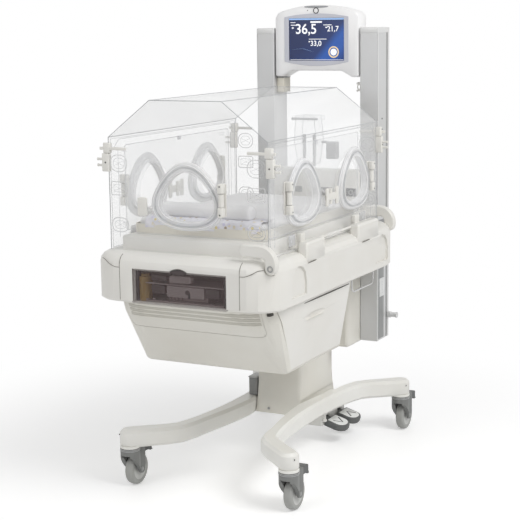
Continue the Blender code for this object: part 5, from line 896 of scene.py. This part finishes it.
def make_monitor():
    """The monitor's bezel, strip and button ring, and its screen's figures, bars, sweep and ring dial."""
    outer = bowed_frame(0.1195, 1.2945, 1.4450, 0.0140, 0.0115)
    inner = bowed_frame(0.1028, 1.2982, 1.4413, 0.0, 0.0)
    bezel = ring_plate(outer, inner, 0.8984, 0.9040)
    form("monitor_bezel", [bezel], "upper", BEZEL, bevel=0.0008)
    strip = bead((0, 0.9010, 1.4788), (0.0450, 0.0030, 0.0036), 2.6, 28)
    form("alarm_strip", [strip], "upper", LENS)
    ring = lathe(BUTTON_RING, (0, 0, 1.466), "y", 28)
    light = lathe([(0, 0.8990), (0.0013, 0.8992), (0.0016, 0.9002)], (-0.0316, 0, 1.4669), "y", 12)
    form("button_ring", [ring, light], "upper", RUBBER_AND_SHADE)
    make_digits("figure_large", "36,5", 0.0470, -0.0790, 1.3890, LIT_WHITE)
    make_digits("figure_right", "21,7", 0.0250, 0.0400, 1.3965, LIT_WHITE)
    make_digits("figure_small", "33,0", 0.0245, -0.0230, 1.3480, LIT_WHITE)
    bars = [bar(-0.0220, 0.0210, 1.4250, 1.4305), bar(-0.0970, -0.0780, 1.4255, 1.4275),
            bar(-0.0960, -0.0600, 1.4165, 1.4190), bar(0.0260, 0.0570, 1.4165, 1.4190),
            bar(-0.0280, 0.0380, 1.3695, 1.3715), bar(-0.0920, -0.0850, 1.4060, 1.4110),
            bar(0.0340, 0.0400, 1.4075, 1.4115), bar(-0.0290, -0.0240, 1.3600, 1.3640),
            bar(-0.0980, 0.1000, 1.3008, 1.3020), bar(-0.0980, -0.0900, 1.4370, 1.4392),
            bar(-0.0350, -0.0100, 1.4370, 1.4390), bar(0.0650, 0.0850, 1.4370, 1.4390)]
    form("screen_marks", bars, "upper", LIT_WHITE)
    form("screen_top_band", [bar(-0.1022, 0.1022, 1.4350, 1.4408, 0.9007)], "upper", LIT_SKY)
    s = np.linspace(-1, 1, 15)
    height = 1.3350 - 0.0035 * s + 0.0030 * np.cos(3 * s)
    sweep = np.stack([-0.0520 + 0.0400 * s, np.full(15, TEXT_Y), height], axis=-1)
    thick = 0.0028 * (1 - s ** 2) + 0.0003
    flat = np.array([(math.cos(a), 0.10 * math.sin(a)) for a in np.linspace(0, 2 * math.pi, 9)])
    form("screen_sweep", [swept(sweep, flat[:, ::-1], (0, 1, 0), thick)], "upper", LIT_SKY)
    dial = lathe([(0.0150, TEXT_Y), (0.0195, TEXT_Y), (0.0195, DIAL_BACK_Y), (0.0150, DIAL_BACK_Y),
                  (0.0150, TEXT_Y)], DIAL_PLACE, "y", 36)
    form("screen_dial", [dial], "upper", LIT_SAND)
    disc = lathe([(0, TEXT_Y), (0.0115, TEXT_Y), (0.0115, DIAL_BACK_Y), (0, DIAL_BACK_Y)],
                 DIAL_PLACE, "y", 30)
    form("screen_disc", [disc], "upper", LIT_WHITE)


make_monitor()


# Masts

MAST_FACE_X = 0.2254
MAST_PEG = ((0, 0.239), (0.0085, 0.239), (0.0085, 0.256), (0.0100, 0.257), (0.0100, 0.262), (0, 0.2625))


def make_mast_fittings():
    """Strips, caps, grooves, sockets and screws of both masts, the peg, and the bracket and hook inside."""
    for name, side in (("right", RIGHT), ("left", LEFT)):
        strips = [side_box(side, (0.2247, 0.8990, 0.3390), (0.2262, 0.9050, 1.4070), 0.001, 0.0004, "x"),
                  side_box(side, (0.2247, 0.9880, 0.3390), (0.2262, 1.0010, 1.4070), 0.001, 0.0004, "x")]
        form("mast_edge_strips_" + name, strips, "upper", PALE_METAL)
        cap = side_box(side, (0.1606, 0.8983, 1.3900), (0.2260, 1.0022, 1.4085), 0.004, 0.0015)
        form("mast_cap_" + name, [cap], "upper", PALE_METAL)
        groove = side_box(side, (0.2190, 0.9772, 0.3400), (0.2250, 0.9866, 1.3895), 0.001, 0.0004, "x")
        form("mast_groove_" + name, [groove], "upper", GREY)
        lower = side_box(side, (0.2247, 0.9085, 0.3450), (0.2262, 0.9560, 0.7600), 0.001, 0.0004, "x")
        form("mast_inset_" + name, [lower], "upper", STEEL_GREY)
        plate = [side_box(side, (0.2256, 0.9135, 0.4922), (0.2290, 0.9560, 0.5561), 0.003, 0.0008, "x")]
        for y in (0.919, 0.937):
            for z in (0.505, 0.515, 0.533, 0.543):
                slit = [(side * 0.2291, y, z), (side * 0.2291, y + 0.013, z)]
                plate.append(tube(slit, 0.0009, up=(0, 0, 1), count=6))
        form("mast_socket_" + name, plate, "upper", PALE_METAL)
        outer = side * MAST_FACE_X
        head = [(0, outer + side * 0.0012), (0.0026, outer + side * 0.0010), (0.0030, outer)]
        screws = [lathe(head, (0, 0.938, z), "x", 14) for z in (1.1033, 1.0670)]
        form("mast_screws_" + name, screws, "upper", RUBBER_AND_SHADE)
    peg = [soft_box((0.2250, 0.9860, 0.4060), (0.2400, 1.0000, 0.4270), 0.004, 0.002, "x"),
           lathe(MAST_PEG, (0, 0.993, 0.4165), "x", 20)]
    form("mast_peg", peg, "upper", PALE_METAL)
    bracket = [soft_box((-0.1612, 0.9200, 1.1895), (-0.1330, 0.9720, 1.2385), 0.003, 0.002, "z")]
    form("left_bracket", bracket, "upper", CREAM)
    seal = [soft_box((-0.1614, 0.9195, 1.2386), (-0.1322, 0.9730, 1.2415), 0.002, 0.001, "z")]
    form("left_bracket_seal", seal, "upper", GREY)
    hook = [soft_box((0.1500, 0.9240, 1.1900), (0.1612, 0.9420, 1.2276), 0.003, 0.002, "x")]
    for z in (1.2215, 1.1975):
        bend = [(0.1540, 0.9300, z), (0.1440, 0.9300, z + 0.001), (0.1370, 0.9300, z - 0.002)]
        hook.append(tube(curve_through(bend, 5), 0.0032, up=(0, 1, 0), count=10))
    ring = loop_y(0.9290, (0.1400, 1.2010), (0.1520, 1.2170), 0.006, 5)
    hook.append(tube(ring, 0.0020, up=(0, 1, 0), count=8))
    form("mast_hook", hook, "upper", WHITE)


make_mast_fittings()


# Behind and inside the hood

POD_POST = ((0, 0.952), (0.0046, 0.952), (0.0046, 0.985), (0.0058, 0.988), (0.0058, 1.058), (0, 1.060))
POD_OUTLINE = ((-0.008, 1.040), (0.006, 0.9585), (0.058, 0.9585), (0.072, 1.040), (0.0648, 1.1215),
               (-0.0008, 1.1215), (-0.008, 1.040))
BULKHEAD_FACE_Y = 0.8849


def make_hood_interior():
    """The sensor pod's bar, posts and edges, the block beside it, and the fittings on the rear bulkhead."""
    bar_grid = [soft_box((-0.0150, 0.7300, 1.1085), (0.0790, 0.7390, 1.1165), 0.003, 0.002, "x")]
    form("pod_bar", bar_grid, "upper", SILVER)
    posts = [lathe(POD_POST, (x, 0.7700, 0), "z", 16) for x in (0.0140, 0.0510)]
    form("pod_posts", posts, "upper", SILVER)
    lines = [tube([(x, y, z) for x, z in POD_OUTLINE], 0.0008, up=(0, 1, 0), count=6)
             for y in (0.7368, 0.7968)]
    form("pod_edges", lines, "upper", EDGE)
    block = [soft_box((0.0930, 0.7700, 0.9780), (0.1290, 0.7975, 1.0350), 0.004, 0.002, "y")]
    block += rib_pack((0.0960, 0.986), (0.1260, 1.027), 6, 0.0014, 0.7696)
    block += [soft_box((0.0720, 0.7780, 1.0290), (0.0940, 0.7900, 1.0370), 0.003, 0.002, "x")]
    form("hood_connector", block, "upper", GREY)
    y = BULKHEAD_FACE_Y
    windows = [soft_box((-0.0080, y - 0.0010, 0.8400), (0.0640, y + 0.0005, 0.8680), 0.003, 0.0005, "y"),
               soft_box((0.1160, y - 0.0010, 0.8400), (0.1540, y + 0.0005, 0.8680), 0.003, 0.0005, "y")]
    form("bulkhead_windows", windows, "upper", RUBBER_AND_SHADE)
    rim = [(0.0050, y - 0.0050), (0.0090, y - 0.0050), (0.0095, y), (0.0050, y), (0.0050, y - 0.0050)]
    port = [lathe(rim, (0.1340, 0, 0.8540), "y", 24),
            soft_box((-0.0760, y - 0.0030, 0.8480), (-0.0500, y, 0.8680), 0.003, 0.001, "y")]
    form("bulkhead_fittings", port, "upper", GREY)
    hose = curve_through([(0.0000, y - 0.006, 0.8600), (0.0180, y - 0.010, 0.8540),
                          (0.0330, y - 0.010, 0.8580), (0.0420, y - 0.008, 0.8500),
                          (0.0600, y - 0.006, 0.8530)], 5)
    form("bulkhead_tube", [tube(hose, 0.0034, up=(0, 1, 0), count=10)], "upper", CLEAR_GREY_AND_SHADE)


make_hood_interior()


# Belly: grip bands and lips in painted shade and highlight, painted shade in the gaps, painted light over the
# drawer's seam

BELLY_TOP_Z, BELLY_FOOT_Z = 0.625, 0.400
BELLY_WAIST_Z = 0.575
GRIP_X = (-0.206, 0.224)
GAP_Z = 0.6132


def belly_half(z):
    """Half width of the belly: it grows evenly with height."""
    return 0.245 + 0.040 * (np.asarray(z) - BELLY_FOOT_Z) / (BELLY_TOP_Z - BELLY_FOOT_Z)


def belly_near(z):
    """Y of the belly's near face: it comes forward evenly with height."""
    return 0.146 - 0.180 * (np.asarray(z) - BELLY_FOOT_Z) / (BELLY_TOP_Z - BELLY_FOOT_Z)


def belly_radius(z):
    """Corner radius of the belly: it grows evenly up to the waist, and from there at a slower rate."""
    low = 0.022 + 0.094 * (z - BELLY_FOOT_Z) / (BELLY_WAIST_Z - BELLY_FOOT_Z)
    high = 0.116 + 0.049 * (z - BELLY_WAIST_Z) / (BELLY_TOP_Z - BELLY_WAIST_Z)
    return np.where(z < BELLY_WAIST_Z, low, high)


def belly_face(x, z, out=0.0):
    """The bowed near face: a flat middle and corner circles whose radius grows with height."""
    x, z = np.broadcast_arrays(np.asarray(x, float), np.asarray(z, float))
    radius = belly_radius(z)
    over = np.clip(np.abs(x) - (belly_half(z) - radius), 0, radius * 0.98)
    y = belly_near(z) + radius - np.sqrt(radius ** 2 - over ** 2)
    return np.stack([x, y - out, z], axis=-1)


def belly_strip(low_x, high_x, low_z, high_z, out):
    """A band on the face: its section is a low arch, out metres proud in the middle."""
    x = np.linspace(low_x, high_x, 41)
    s = np.linspace(0, 1, 7)[:, None]
    rise = out * np.sqrt(np.clip(1 - (2 * s - 1) ** 2, 0, 1)) + 0.0001
    z = low_z + (high_z - low_z) * s + 0 * x
    face = belly_face(x + 0 * s, z, rise + 0 * x)
    back = belly_face(x, np.full(41, high_z), -0.0005)[None]
    front = belly_face(x, np.full(41, low_z), -0.0005)[None]
    grid = np.concatenate([front, face, back, front])
    ends = np.broadcast_to(grid.mean(axis=0, keepdims=True), grid.shape)
    return np.concatenate([ends[:, :1], grid, ends[:, -1:]], axis=1)


def make_belly_details():
    """Grip bands in painted shade with lips in painted highlight, painted shade in the side drawer's top gap
    and corner notch, a light strip that paints out the shade in the drawer's seam, and the grip lip in
    painted highlight.
    """
    # Painted shade and highlight: the darker bands stand in for the shade under the tray and in the grip's
    # hollows, the lighter lips for the light on the ribs between them.
    bands = [belly_strip(*GRIP_X, z, z + 0.0085, 0.0009) for z in (0.6020, 0.5880, 0.5740)]
    form("drawer_grip_bands", bands, "front_drawer", IVORY_PAINTED_SHADE)
    lips = [belly_strip(*GRIP_X, z, z + 0.0022, 0.0012) for z in (0.5994, 0.5854, 0.5714)]
    form("drawer_grip_lips", lips, "front_drawer", IVORY_PAINTED_LIGHT)
    # Painted shade: a dark tube along the belly's top gap stands in for the shade inside it.
    y = np.linspace(0.190, 0.520, 30)
    gap = np.stack([np.full(30, belly_half(GAP_Z) + 0.0002), y, np.full(30, GAP_Z)], axis=-1)
    width = 0.0021 * np.sin(np.linspace(0.12, math.pi - 0.3, 30)) ** 0.5
    form("belly_top_gap", [tube(gap, width, up=(1, 0, 0), count=8)], "side_drawer", SLOT_PAINTED_SHADE)
    # Painted light: a light ivory tube laid in the side drawer's seam paints out the seam's shade; it is no
    # real seal.
    z = np.linspace(0.4130, 0.6200, 24)
    inset = 0.034 + 0.047 * (z - 0.413) / 0.209
    radius = belly_radius(z)
    over = np.clip(radius - inset, 0, None)
    edge = np.stack([belly_half(z) - radius + np.sqrt(radius ** 2 - over ** 2) - 0.0014,
                     belly_near(z) + inset - 0.0009, z], axis=-1)
    form("side_drawer_seal", [tube(edge, 0.0017, up=(1, 0, 0), count=8)], "upper", IVORY_PAINTED_LIGHT)
    # Painted shade: a dark box in the belly's corner notch stands in for the shade in it.
    x = np.array([0.2420, 0.2540])
    near = belly_face(x, np.array([0.615, 0.615]), 0.001)[:, 1]
    notch = soft_box((x[0], near[0], 0.6030), (x[1], near[1] + 0.010, 0.6240), 0.002, 0.001, "z")
    form("belly_corner_notch", [notch], "upper", SLOT_PAINTED_SHADE)
    # Painted highlight: the side grip's lip is a lighter ivory ridge where the grip catches light.
    t = np.linspace(0, 1, 13)
    arch = np.sin(math.pi * t)
    lip = np.stack([0.2766 + 0.0012 * arch, 0.212 + 0.138 * t, 0.5552 + 0.0035 * arch], axis=-1)
    form("side_grip_lip", [tube(lip, 0.0016 * arch ** 0.5 + 0.0001, up=(1, 0, 0), count=8)],
         "side_drawer", IVORY_PAINTED_LIGHT)


make_belly_details()


# Casters and pedals

TYRE_PROFILE = [(0.0348, 0.0118), (0.0352, 0.0134), (0.0372, 0.0140), (0.0440, 0.0138), (0.0468, 0.0128),
                (0.0488, 0.0106), (0.0498, 0.0070), (0.0500, 0.0030)]
DISC_PROFILE = [(0.0061, 0.0136), (0.0100, 0.0138), (0.0112, 0.0128), (0.0116, 0.0108), (0.0150, 0.0098),
                (0.0220, 0.0096), (0.0300, 0.0102), (0.0318, 0.0122), (0.0350, 0.0126)]
AXLE_CAP = ((0, 0.0236), (0.0052, 0.0234), (0.0068, 0.0224), (0.0070, 0.0200))


def make_casters():
    """Tyre and disc of each wheel, turned round its axle, with axle caps, rings, the brake's ribs and a black
    box under the brake as painted shade.
    """
    for corner in ("fl", "fr", "rl", "rr"):
        low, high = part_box("caster_" + corner + "_wheel")
        centre = ((low.x + high.x) / 2, (low.y + high.y) / 2 - NEAR_PANEL_Y, (low.z + high.z) / 2)
        tyre, disc = [profile + [(r, -a) for r, a in reversed(profile)] + [profile[0]]
                      for profile in (TYRE_PROFILE, DISC_PROFILE)]
        rubber = form("tyre_" + corner, [lathe(tyre, centre, "x", 48)], "wheel_" + corner, TYRE)
        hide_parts("caster_" + corner + "_wheel")
        form("wheel_disc_" + corner, [lathe(disc, centre, "x", 48)], "wheel_" + corner, DISC)
        low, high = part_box("caster_" + corner + "_fork")
        x, y = (low.x + high.x) / 2, low.y - NEAR_PANEL_Y + 0.031
        caps = []
        for side in (RIGHT, LEFT):
            cap = [(radius, side * reach) for radius, reach in AXLE_CAP]
            caps.append(lathe(cap, (x, centre[1], centre[2]), "x", 20))
        form("axle_caps_" + corner, caps, "swivel_" + corner, GREY)
        rings = []
        for z in (0.1236, 0.1196):
            ring = [(0.0300, z), (0.0316, z), (0.0320, z + 0.0007), (0.0316, z + 0.0014),
                    (0.0300, z + 0.0014), (0.0300, z)]
            rings.append(lathe(ring, (x, y, 0), "z", 40))
        form("caster_rings_" + corner, rings, "swivel_" + corner, SILVER)
        ribs = [tube([(x - 0.0150, y + d, 0.1233), (x + 0.0150, y + d, 0.1233)], 0.0010, count=8)
                for d in (0.0620, 0.0690, 0.0760, 0.0830, 0.0900)]
        form("brake_ribs_" + corner, ribs, "brake_" + corner, GREY)
        # Painted shade: a thin black box under the brake stands in for the shadow the brake casts.
        slot = [soft_box((x - 0.0160, y + 0.0560, 0.1015), (x + 0.0160, y + 0.0900, 0.1035), 0.004, 0.0008)]
        form("brake_shade_" + corner, slot, "brake_" + corner, RUBBER_AND_SHADE)


PEDAL_HINGE = (0.074, 0.077)
PEDAL_DROOP = math.radians(16)
PLATE_RINGS = ((0.0, 0.0868), (1.0, 0.0868), (1.0, 0.0886), (0.975, 0.0892), (0.0, 0.0892))
ARROW_Z = 0.0893
BEAM_STUD = ((0, 0.0850), (0.0070, 0.0852), (0.0088, 0.0870), (0.0088, 0.0925), (0.0060, 0.0945),
             (0.0060, 0.1285))


def drooped(points):
    """Turn points of a level pedal about its hinge line: tip down by the droop angle."""
    x, y, z = points[..., 0] - PEDAL_HINGE[0], points[..., 1], points[..., 2] - PEDAL_HINGE[1]
    cos, sin = math.cos(PEDAL_DROOP), math.sin(PEDAL_DROOP)
    return np.stack([PEDAL_HINGE[0] + x * cos + z * sin, y, PEDAL_HINGE[1] - x * sin + z * cos], axis=-1)


def make_pedal_plates():
    """Rubber plates on both foot pedals, each with an arrow head, and the stud on the beam beside them."""
    for name, y, way in (("down", 0.790, 1), ("up", 0.888, -1)):
        turn = np.linspace(-math.pi / 2, math.pi / 2, 17)
        outline = np.stack([0.1330 + 0.0250 * np.cos(turn), y + 0.0345 * np.sin(turn)], axis=-1)
        heel = [(0.1005, y + 0.0325), (0.0985, y + 0.0300), (0.0985, y - 0.0300), (0.1005, y - 0.0325)]
        outline = np.concatenate([heel, outline, heel[:1]])
        middle = np.array([0.1290, y])
        rings = []
        for k, z in PLATE_RINGS:
            rings.append(placed(middle[0] + (outline[:, 0] - middle[0]) * k,
                                middle[1] + (outline[:, 1] - middle[1]) * k, np.full(len(outline), z), "z"))
        form("pedal_plate_" + name, [drooped(np.stack(rings))], "pedal_" + name, PLATE)
        base, apex = (0.1150, 0.1420) if way > 0 else (0.1400, 0.1130)
        arrow = np.array([(base, y - 0.0215, ARROW_Z), (apex, y, ARROW_Z), (base, y + 0.0215, ARROW_Z)])
        flat = np.array([(-0.0023, -0.0004), (0.0023, -0.0004), (0.0023, 0.0004), (-0.0023, 0.0004),
                         (-0.0023, -0.0004)])
        form("pedal_chevron_" + name, [swept(drooped(arrow), flat)], "pedal_" + name, RUBBER_AND_SHADE,
             smooth=20)
    form("beam_stud", [lathe(BEAM_STUD, (0.1040, 0.7220, 0), "z", 24)], "base", WHITE)


BEAM_END = 0.0360


def make_base_details():
    """Screws on the beams' rounded ends, the screw on the column sleeve and the fitting beside the sleeve."""
    ends = []
    for side in (RIGHT, LEFT):
        for y in (0.0898, 0.9954):
            turn = math.radians(-28)
            centre = (side * (0.2708 + BEAM_END * math.cos(turn)), y + BEAM_END * math.sin(turn), 0.1700)
            ends.append(bead(centre, (0.0014, 0.0024, 0.0024)))
    form("beam_end_screws", ends, "base", RUBBER_AND_SHADE)
    screw = [lathe([(0, 0.0), (0.0040, 0.0004), (0.0048, 0.0020)], (-0.031, 0.5675, 0.156), "y", 18)]
    form("sleeve_screw", screw, "base", GREY)
    fitting = soft_box((-0.1160, 0.5900, 0.1900), (-0.0838, 0.6450, 0.2480), 0.005, 0.002)
    cap = soft_box((-0.1180, 0.5880, 0.2485), (-0.0838, 0.6470, 0.2530), 0.005, 0.002)
    form("sleeve_fitting", [fitting], "base", STEEL_GREY)
    form("sleeve_fitting_cap", [cap], "base", SILVER)


make_casters()
make_pedal_plates()
make_base_details()


# Bed: padded mattress and roll, and the printed cover

def creases(points, count, seed, lean, width, reach, height):
    """Height of crossing folds: each is height * exp(-(across / width)^2) * exp(-(along / reach)^4)."""
    chance = np.random.default_rng(seed)
    low, high = points[:, :2].min(axis=0), points[:, :2].max(axis=0)
    centre = low + (high - low) * chance.uniform(0.05, 0.95, (count, 2))
    angle = chance.normal(0, lean, count)
    size = chance.uniform(0.5, 1.3, (count, 3))
    away = points[:, None, :2] - centre
    along = away[..., 0] * np.cos(angle) + away[..., 1] * np.sin(angle)
    across = -away[..., 0] * np.sin(angle) + away[..., 1] * np.cos(angle)
    across = across + 0.35 * along ** 2 * np.sin(7 * angle) / 0.1
    folds = np.exp(-(across / (width * size[:, 0])) ** 2) * np.exp(-(along / (reach * size[:, 1])) ** 4)
    return (height * folds * size[:, 2]).sum(axis=1)


CLOTH_FRAMES = 20


def padded_copy(name, node, shrink, voxel, cap, low, high, look):
    """A pad: the solid made smaller, remeshed, swollen by the cloth solver, and held inside cap and a box."""
    scene = bpy.context.scene
    item = bpy.data.objects.new(name, NODES[node].data.copy())
    scene.collection.objects.link(item)
    points = np.empty(len(item.data.vertices) * 3)
    item.data.vertices.foreach_get("co", points)
    points = points.reshape(-1, 3)
    middle = (points.min(axis=0) + points.max(axis=0)) / 2
    half = (points.max(axis=0) - points.min(axis=0)) / 2
    points = middle + (points - middle) * (half - np.array(shrink)) / half
    item.data.vertices.foreach_set("co", points.ravel())
    step = item.modifiers.new("remesh", "REMESH")
    step.mode = "VOXEL"
    step.voxel_size = voxel
    remade = bpy.data.meshes.new_from_object(item.evaluated_get(bpy.context.evaluated_depsgraph_get()))
    item.modifiers.clear()
    item.data = remade
    start = np.empty(len(remade.vertices) * 3)
    remade.vertices.foreach_get("co", start)
    start = start.reshape(-1, 3)
    final = start
    cloth = item.modifiers.new("cloth", "CLOTH")
    cloth.settings.quality = 5
    cloth.settings.mass = 0.3
    cloth.settings.use_pressure = True
    cloth.settings.uniform_pressure_force = 4
    cloth.settings.effector_weights.gravity = 0
    cloth.point_cache.frame_start = 1
    cloth.point_cache.frame_end = CLOTH_FRAMES
    for count in range(1, CLOTH_FRAMES + 1):
        scene.frame_set(count)
    swollen = item.evaluated_get(bpy.context.evaluated_depsgraph_get()).to_mesh()
    final = np.empty(len(swollen.vertices) * 3)
    swollen.vertices.foreach_get("co", final)
    final = final.reshape(-1, 3)
    item.modifiers.clear()
    scene.frame_set(1)
    push = final - start
    size = np.linalg.norm(push, axis=1, keepdims=True)
    final = start + push * np.minimum(1, cap / np.maximum(size, 1e-9))
    top = np.clip((final[:, 2] - (middle[2] + half[2] * 0.4)) / (half[2] * 0.5), 0, 1)
    final[:, 2] += top * creases(final, 46 if half[1] > 0.1 else 16, 11, 0.5, 0.0045, 0.055, 0.0021)
    final = np.clip(final, np.array(low) + [0, NEAR_PANEL_Y, 0], np.array(high) + [0, NEAR_PANEL_Y, 0])
    remade.vertices.foreach_set("co", final.ravel())
    remade.update()
    settle(item, "bed", look, smooth=180)
    finer = item.modifiers.new("subdivision", "SUBSURF")
    finer.levels = finer.render_levels = 1
    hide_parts(node)
    return item


COVER_PATH = ((0.1480, 0.8640), (0.1100, 0.8648), (0.0760, 0.8650), (0.0665, 0.8634), (0.0592, 0.8584),
              (0.0570, 0.8490), (0.0566, 0.8410), (0.0568, 0.8335))
QUILT_STEP = 0.034


def make_cover():
    """Quilted cover over the near edge: x across, run down a curve, quilted by a product of two cosines."""
    path = curve_through(COVER_PATH, 8)
    run = np.concatenate([[0], np.cumsum(np.linalg.norm(np.diff(path, axis=0), axis=1))])
    x = np.linspace(-0.176, 0.208, 97)
    way = tangents(np.concatenate([path, np.zeros((len(path), 1))], axis=1))
    out = np.stack([way[:, 1], -way[:, 0]], axis=-1)
    out = out * np.sign((out[:, 1] - out[:, 0]).sum())
    swell = 0.0011 * np.cos(2 * math.pi * x[None] / QUILT_STEP)
    swell = swell * np.cos(2 * math.pi * run[:, None] / QUILT_STEP)
    hang = np.clip(run[:, None] / run[-1] * 1.5 - 0.6, 0, 1) * 0.0018 * np.sin(31 * x[None] + 1.0)
    lift = swell + hang
    y = path[:, :1] + out[:, :1] * lift
    z = path[:, 1:] + out[:, 1:] * lift
    grid = np.stack([x[None] + 0 * y, y, z], axis=-1)
    item = form("printed_cover", [grid], "bed", PRINT, smooth=180)
    step = item.modifiers.new("thickness", "SOLIDIFY")
    step.thickness = 0.0022
    step.offset = 0.0
    finer = item.modifiers.new("subdivision", "SUBSURF")
    finer.levels = finer.render_levels = 1


padded_copy("mattress_pad", "mattress", (0.0022, 0.0022, 0.0015), 0.0065, 0.005, (-0.2166, 0.0604, 0.8200),
            (0.2166, 0.7146, 0.8640), LINEN)
padded_copy("bolster_pad", "bolster", (0.004, 0.004, 0.004), 0.0042, 0.008, (-0.170, 0.0700, 0.8600),
            (0.170, 0.1420, 0.9130), LINEN)
make_cover()


# Camera, light and floor

CAMERA_PLACE = (1.9658, -3.9057, 1.4375)
CAMERA_HEADING, CAMERA_DROP, CAMERA_ROLL = 27.084, 9.951, -0.741
CAMERA_LENS = 94.77


def make_camera():
    """The camera that solves to the photograph: heading about Z, drop below level, then roll."""
    data = bpy.data.cameras.new("camera")
    data.lens = CAMERA_LENS
    data.sensor_width = 36.0
    item = bpy.data.objects.new("camera", data)
    turn = Matrix.Rotation(math.radians(CAMERA_HEADING), 4, "Z")
    turn = turn @ Matrix.Rotation(math.radians(90 - CAMERA_DROP), 4, "X")
    turn = turn @ Matrix.Rotation(math.radians(CAMERA_ROLL), 4, "Z")
    item.matrix_world = Matrix.Translation(CAMERA_PLACE) @ turn
    bpy.context.scene.collection.objects.link(item)
    bpy.context.scene.camera = item


def make_lamp(name, place, aim, width, power):
    """A round area lamp at a place, turned so that it looks at its aim."""
    data = bpy.data.lights.new(name, "AREA")
    data.shape = "DISK"
    data.size = width
    data.energy = power
    item = bpy.data.objects.new(name, data)
    way = Matrix.Translation(aim).to_translation() - Matrix.Translation(place).to_translation()
    item.matrix_world = Matrix.Translation(place) @ way.to_track_quat("-Z", "Y").to_matrix().to_4x4()
    bpy.context.scene.collection.objects.link(item)


def seen_directly(nodes, links):
    """Camera, glossy or transmission ray, as a number from 0 to 1."""
    path = nodes.new("ShaderNodeLightPath")
    first = nodes.new("ShaderNodeMath")
    first.operation = "MAXIMUM"
    second = nodes.new("ShaderNodeMath")
    second.operation = "MAXIMUM"
    links.new(path.outputs["Is Camera Ray"], first.inputs[0])
    links.new(path.outputs["Is Glossy Ray"], first.inputs[1])
    links.new(first.outputs[0], second.inputs[0])
    links.new(path.outputs["Is Transmission Ray"], second.inputs[1])
    return second.outputs[0]


AMBIENT = 0.42
LAMP_AIM = (0, 0, 0.8)


def make_world():
    """Dim white surroundings for diffuse rays, and plain white for rays that look straight at them."""
    world = bpy.data.worlds.new("studio")
    world.use_nodes = True
    nodes, links = world.node_tree.nodes, world.node_tree.links
    nodes.clear()
    out = nodes.new("ShaderNodeOutputWorld")
    soft = nodes.new("ShaderNodeBackground")
    soft.inputs["Color"].default_value = (1.0, 1.0, 1.0, 1)
    soft.inputs["Strength"].default_value = AMBIENT
    white = nodes.new("ShaderNodeBackground")
    white.inputs["Strength"].default_value = 1.0
    white.inputs["Color"].default_value = (1, 1, 1, 1)
    mix = nodes.new("ShaderNodeMixShader")
    links.new(seen_directly(nodes, links), mix.inputs[0])
    links.new(soft.outputs[0], mix.inputs[1])
    links.new(white.outputs[0], mix.inputs[2])
    links.new(mix.outputs[0], out.inputs[0])
    bpy.context.scene.world = world


def make_floor():
    """A pale disc that keeps the object's shadow and reads white to the camera elsewhere."""
    angle = np.linspace(0, 2 * math.pi, 97)
    radius = np.array([0.0, 1.0, 2.5, 9.0])[:, None]
    grid = placed(radius * np.cos(angle), radius * np.sin(angle), np.full((1, 1), -0.0005), "z")
    material = bpy.data.materials.new("floor")
    material.use_nodes = True
    nodes, links = material.node_tree.nodes, material.node_tree.links
    shader = nodes["Principled BSDF"]
    shader.inputs["Base Color"].default_value = (0.9, 0.9, 0.9, 1)
    shader.inputs["Roughness"].default_value = 0.6
    shader.inputs["Emission Color"].default_value = (1, 1, 1, 1)
    direct = seen_directly(nodes, links)
    lift = nodes.new("ShaderNodeMath")
    lift.operation = "MULTIPLY"
    lift.inputs[1].default_value = 0.30
    links.new(direct, lift.inputs[0])
    links.new(lift.outputs[0], shader.inputs["Emission Strength"])
    place = nodes.new("ShaderNodeTexCoord")
    far = nodes.new("ShaderNodeVectorMath")
    far.operation = "LENGTH"
    links.new(place.outputs["Object"], far.inputs[0])
    fade = nodes.new("ShaderNodeMapRange")
    fade.interpolation_type = "SMOOTHSTEP"
    fade.inputs["From Min"].default_value = 0.55
    fade.inputs["From Max"].default_value = 1.7
    links.new(far.outputs["Value"], fade.inputs["Value"])
    share = nodes.new("ShaderNodeMath")
    share.operation = "MULTIPLY"
    links.new(direct, share.inputs[0])
    links.new(fade.outputs["Result"], share.inputs[1])
    white = nodes.new("ShaderNodeEmission")
    white.inputs["Strength"].default_value = 1.0
    mix = nodes.new("ShaderNodeMixShader")
    links.new(share.outputs[0], mix.inputs[0])
    links.new(shader.outputs[0], mix.inputs[1])
    links.new(white.outputs[0], mix.inputs[2])
    links.new(mix.outputs[0], nodes["Material Output"].inputs[0])
    mesh = bpy.data.meshes.new("floor")
    rows, columns = grid.shape[:2]
    index = np.arange(rows * columns).reshape(rows, columns)
    quads = np.stack([index[:-1, :-1], index[1:, :-1], index[1:, 1:], index[:-1, 1:]], axis=-1)
    mesh.from_pydata(grid.reshape(-1, 3).tolist(), [], quads.reshape(-1, 4).tolist())
    mesh.materials.append(material)
    item = bpy.data.objects.new("floor", mesh)
    bpy.context.scene.collection.objects.link(item)


make_camera()
make_world()
make_floor()
make_lamp("key", (3.2, -0.9, 3.6), LAMP_AIM, 2.2, 95)
make_lamp("fill", (-1.2, -3.6, 2.6), LAMP_AIM, 2.5, 30)
bpy.context.scene.view_settings.view_transform = "Standard"
bpy.context.scene.cycles.transparent_max_bounces = 40
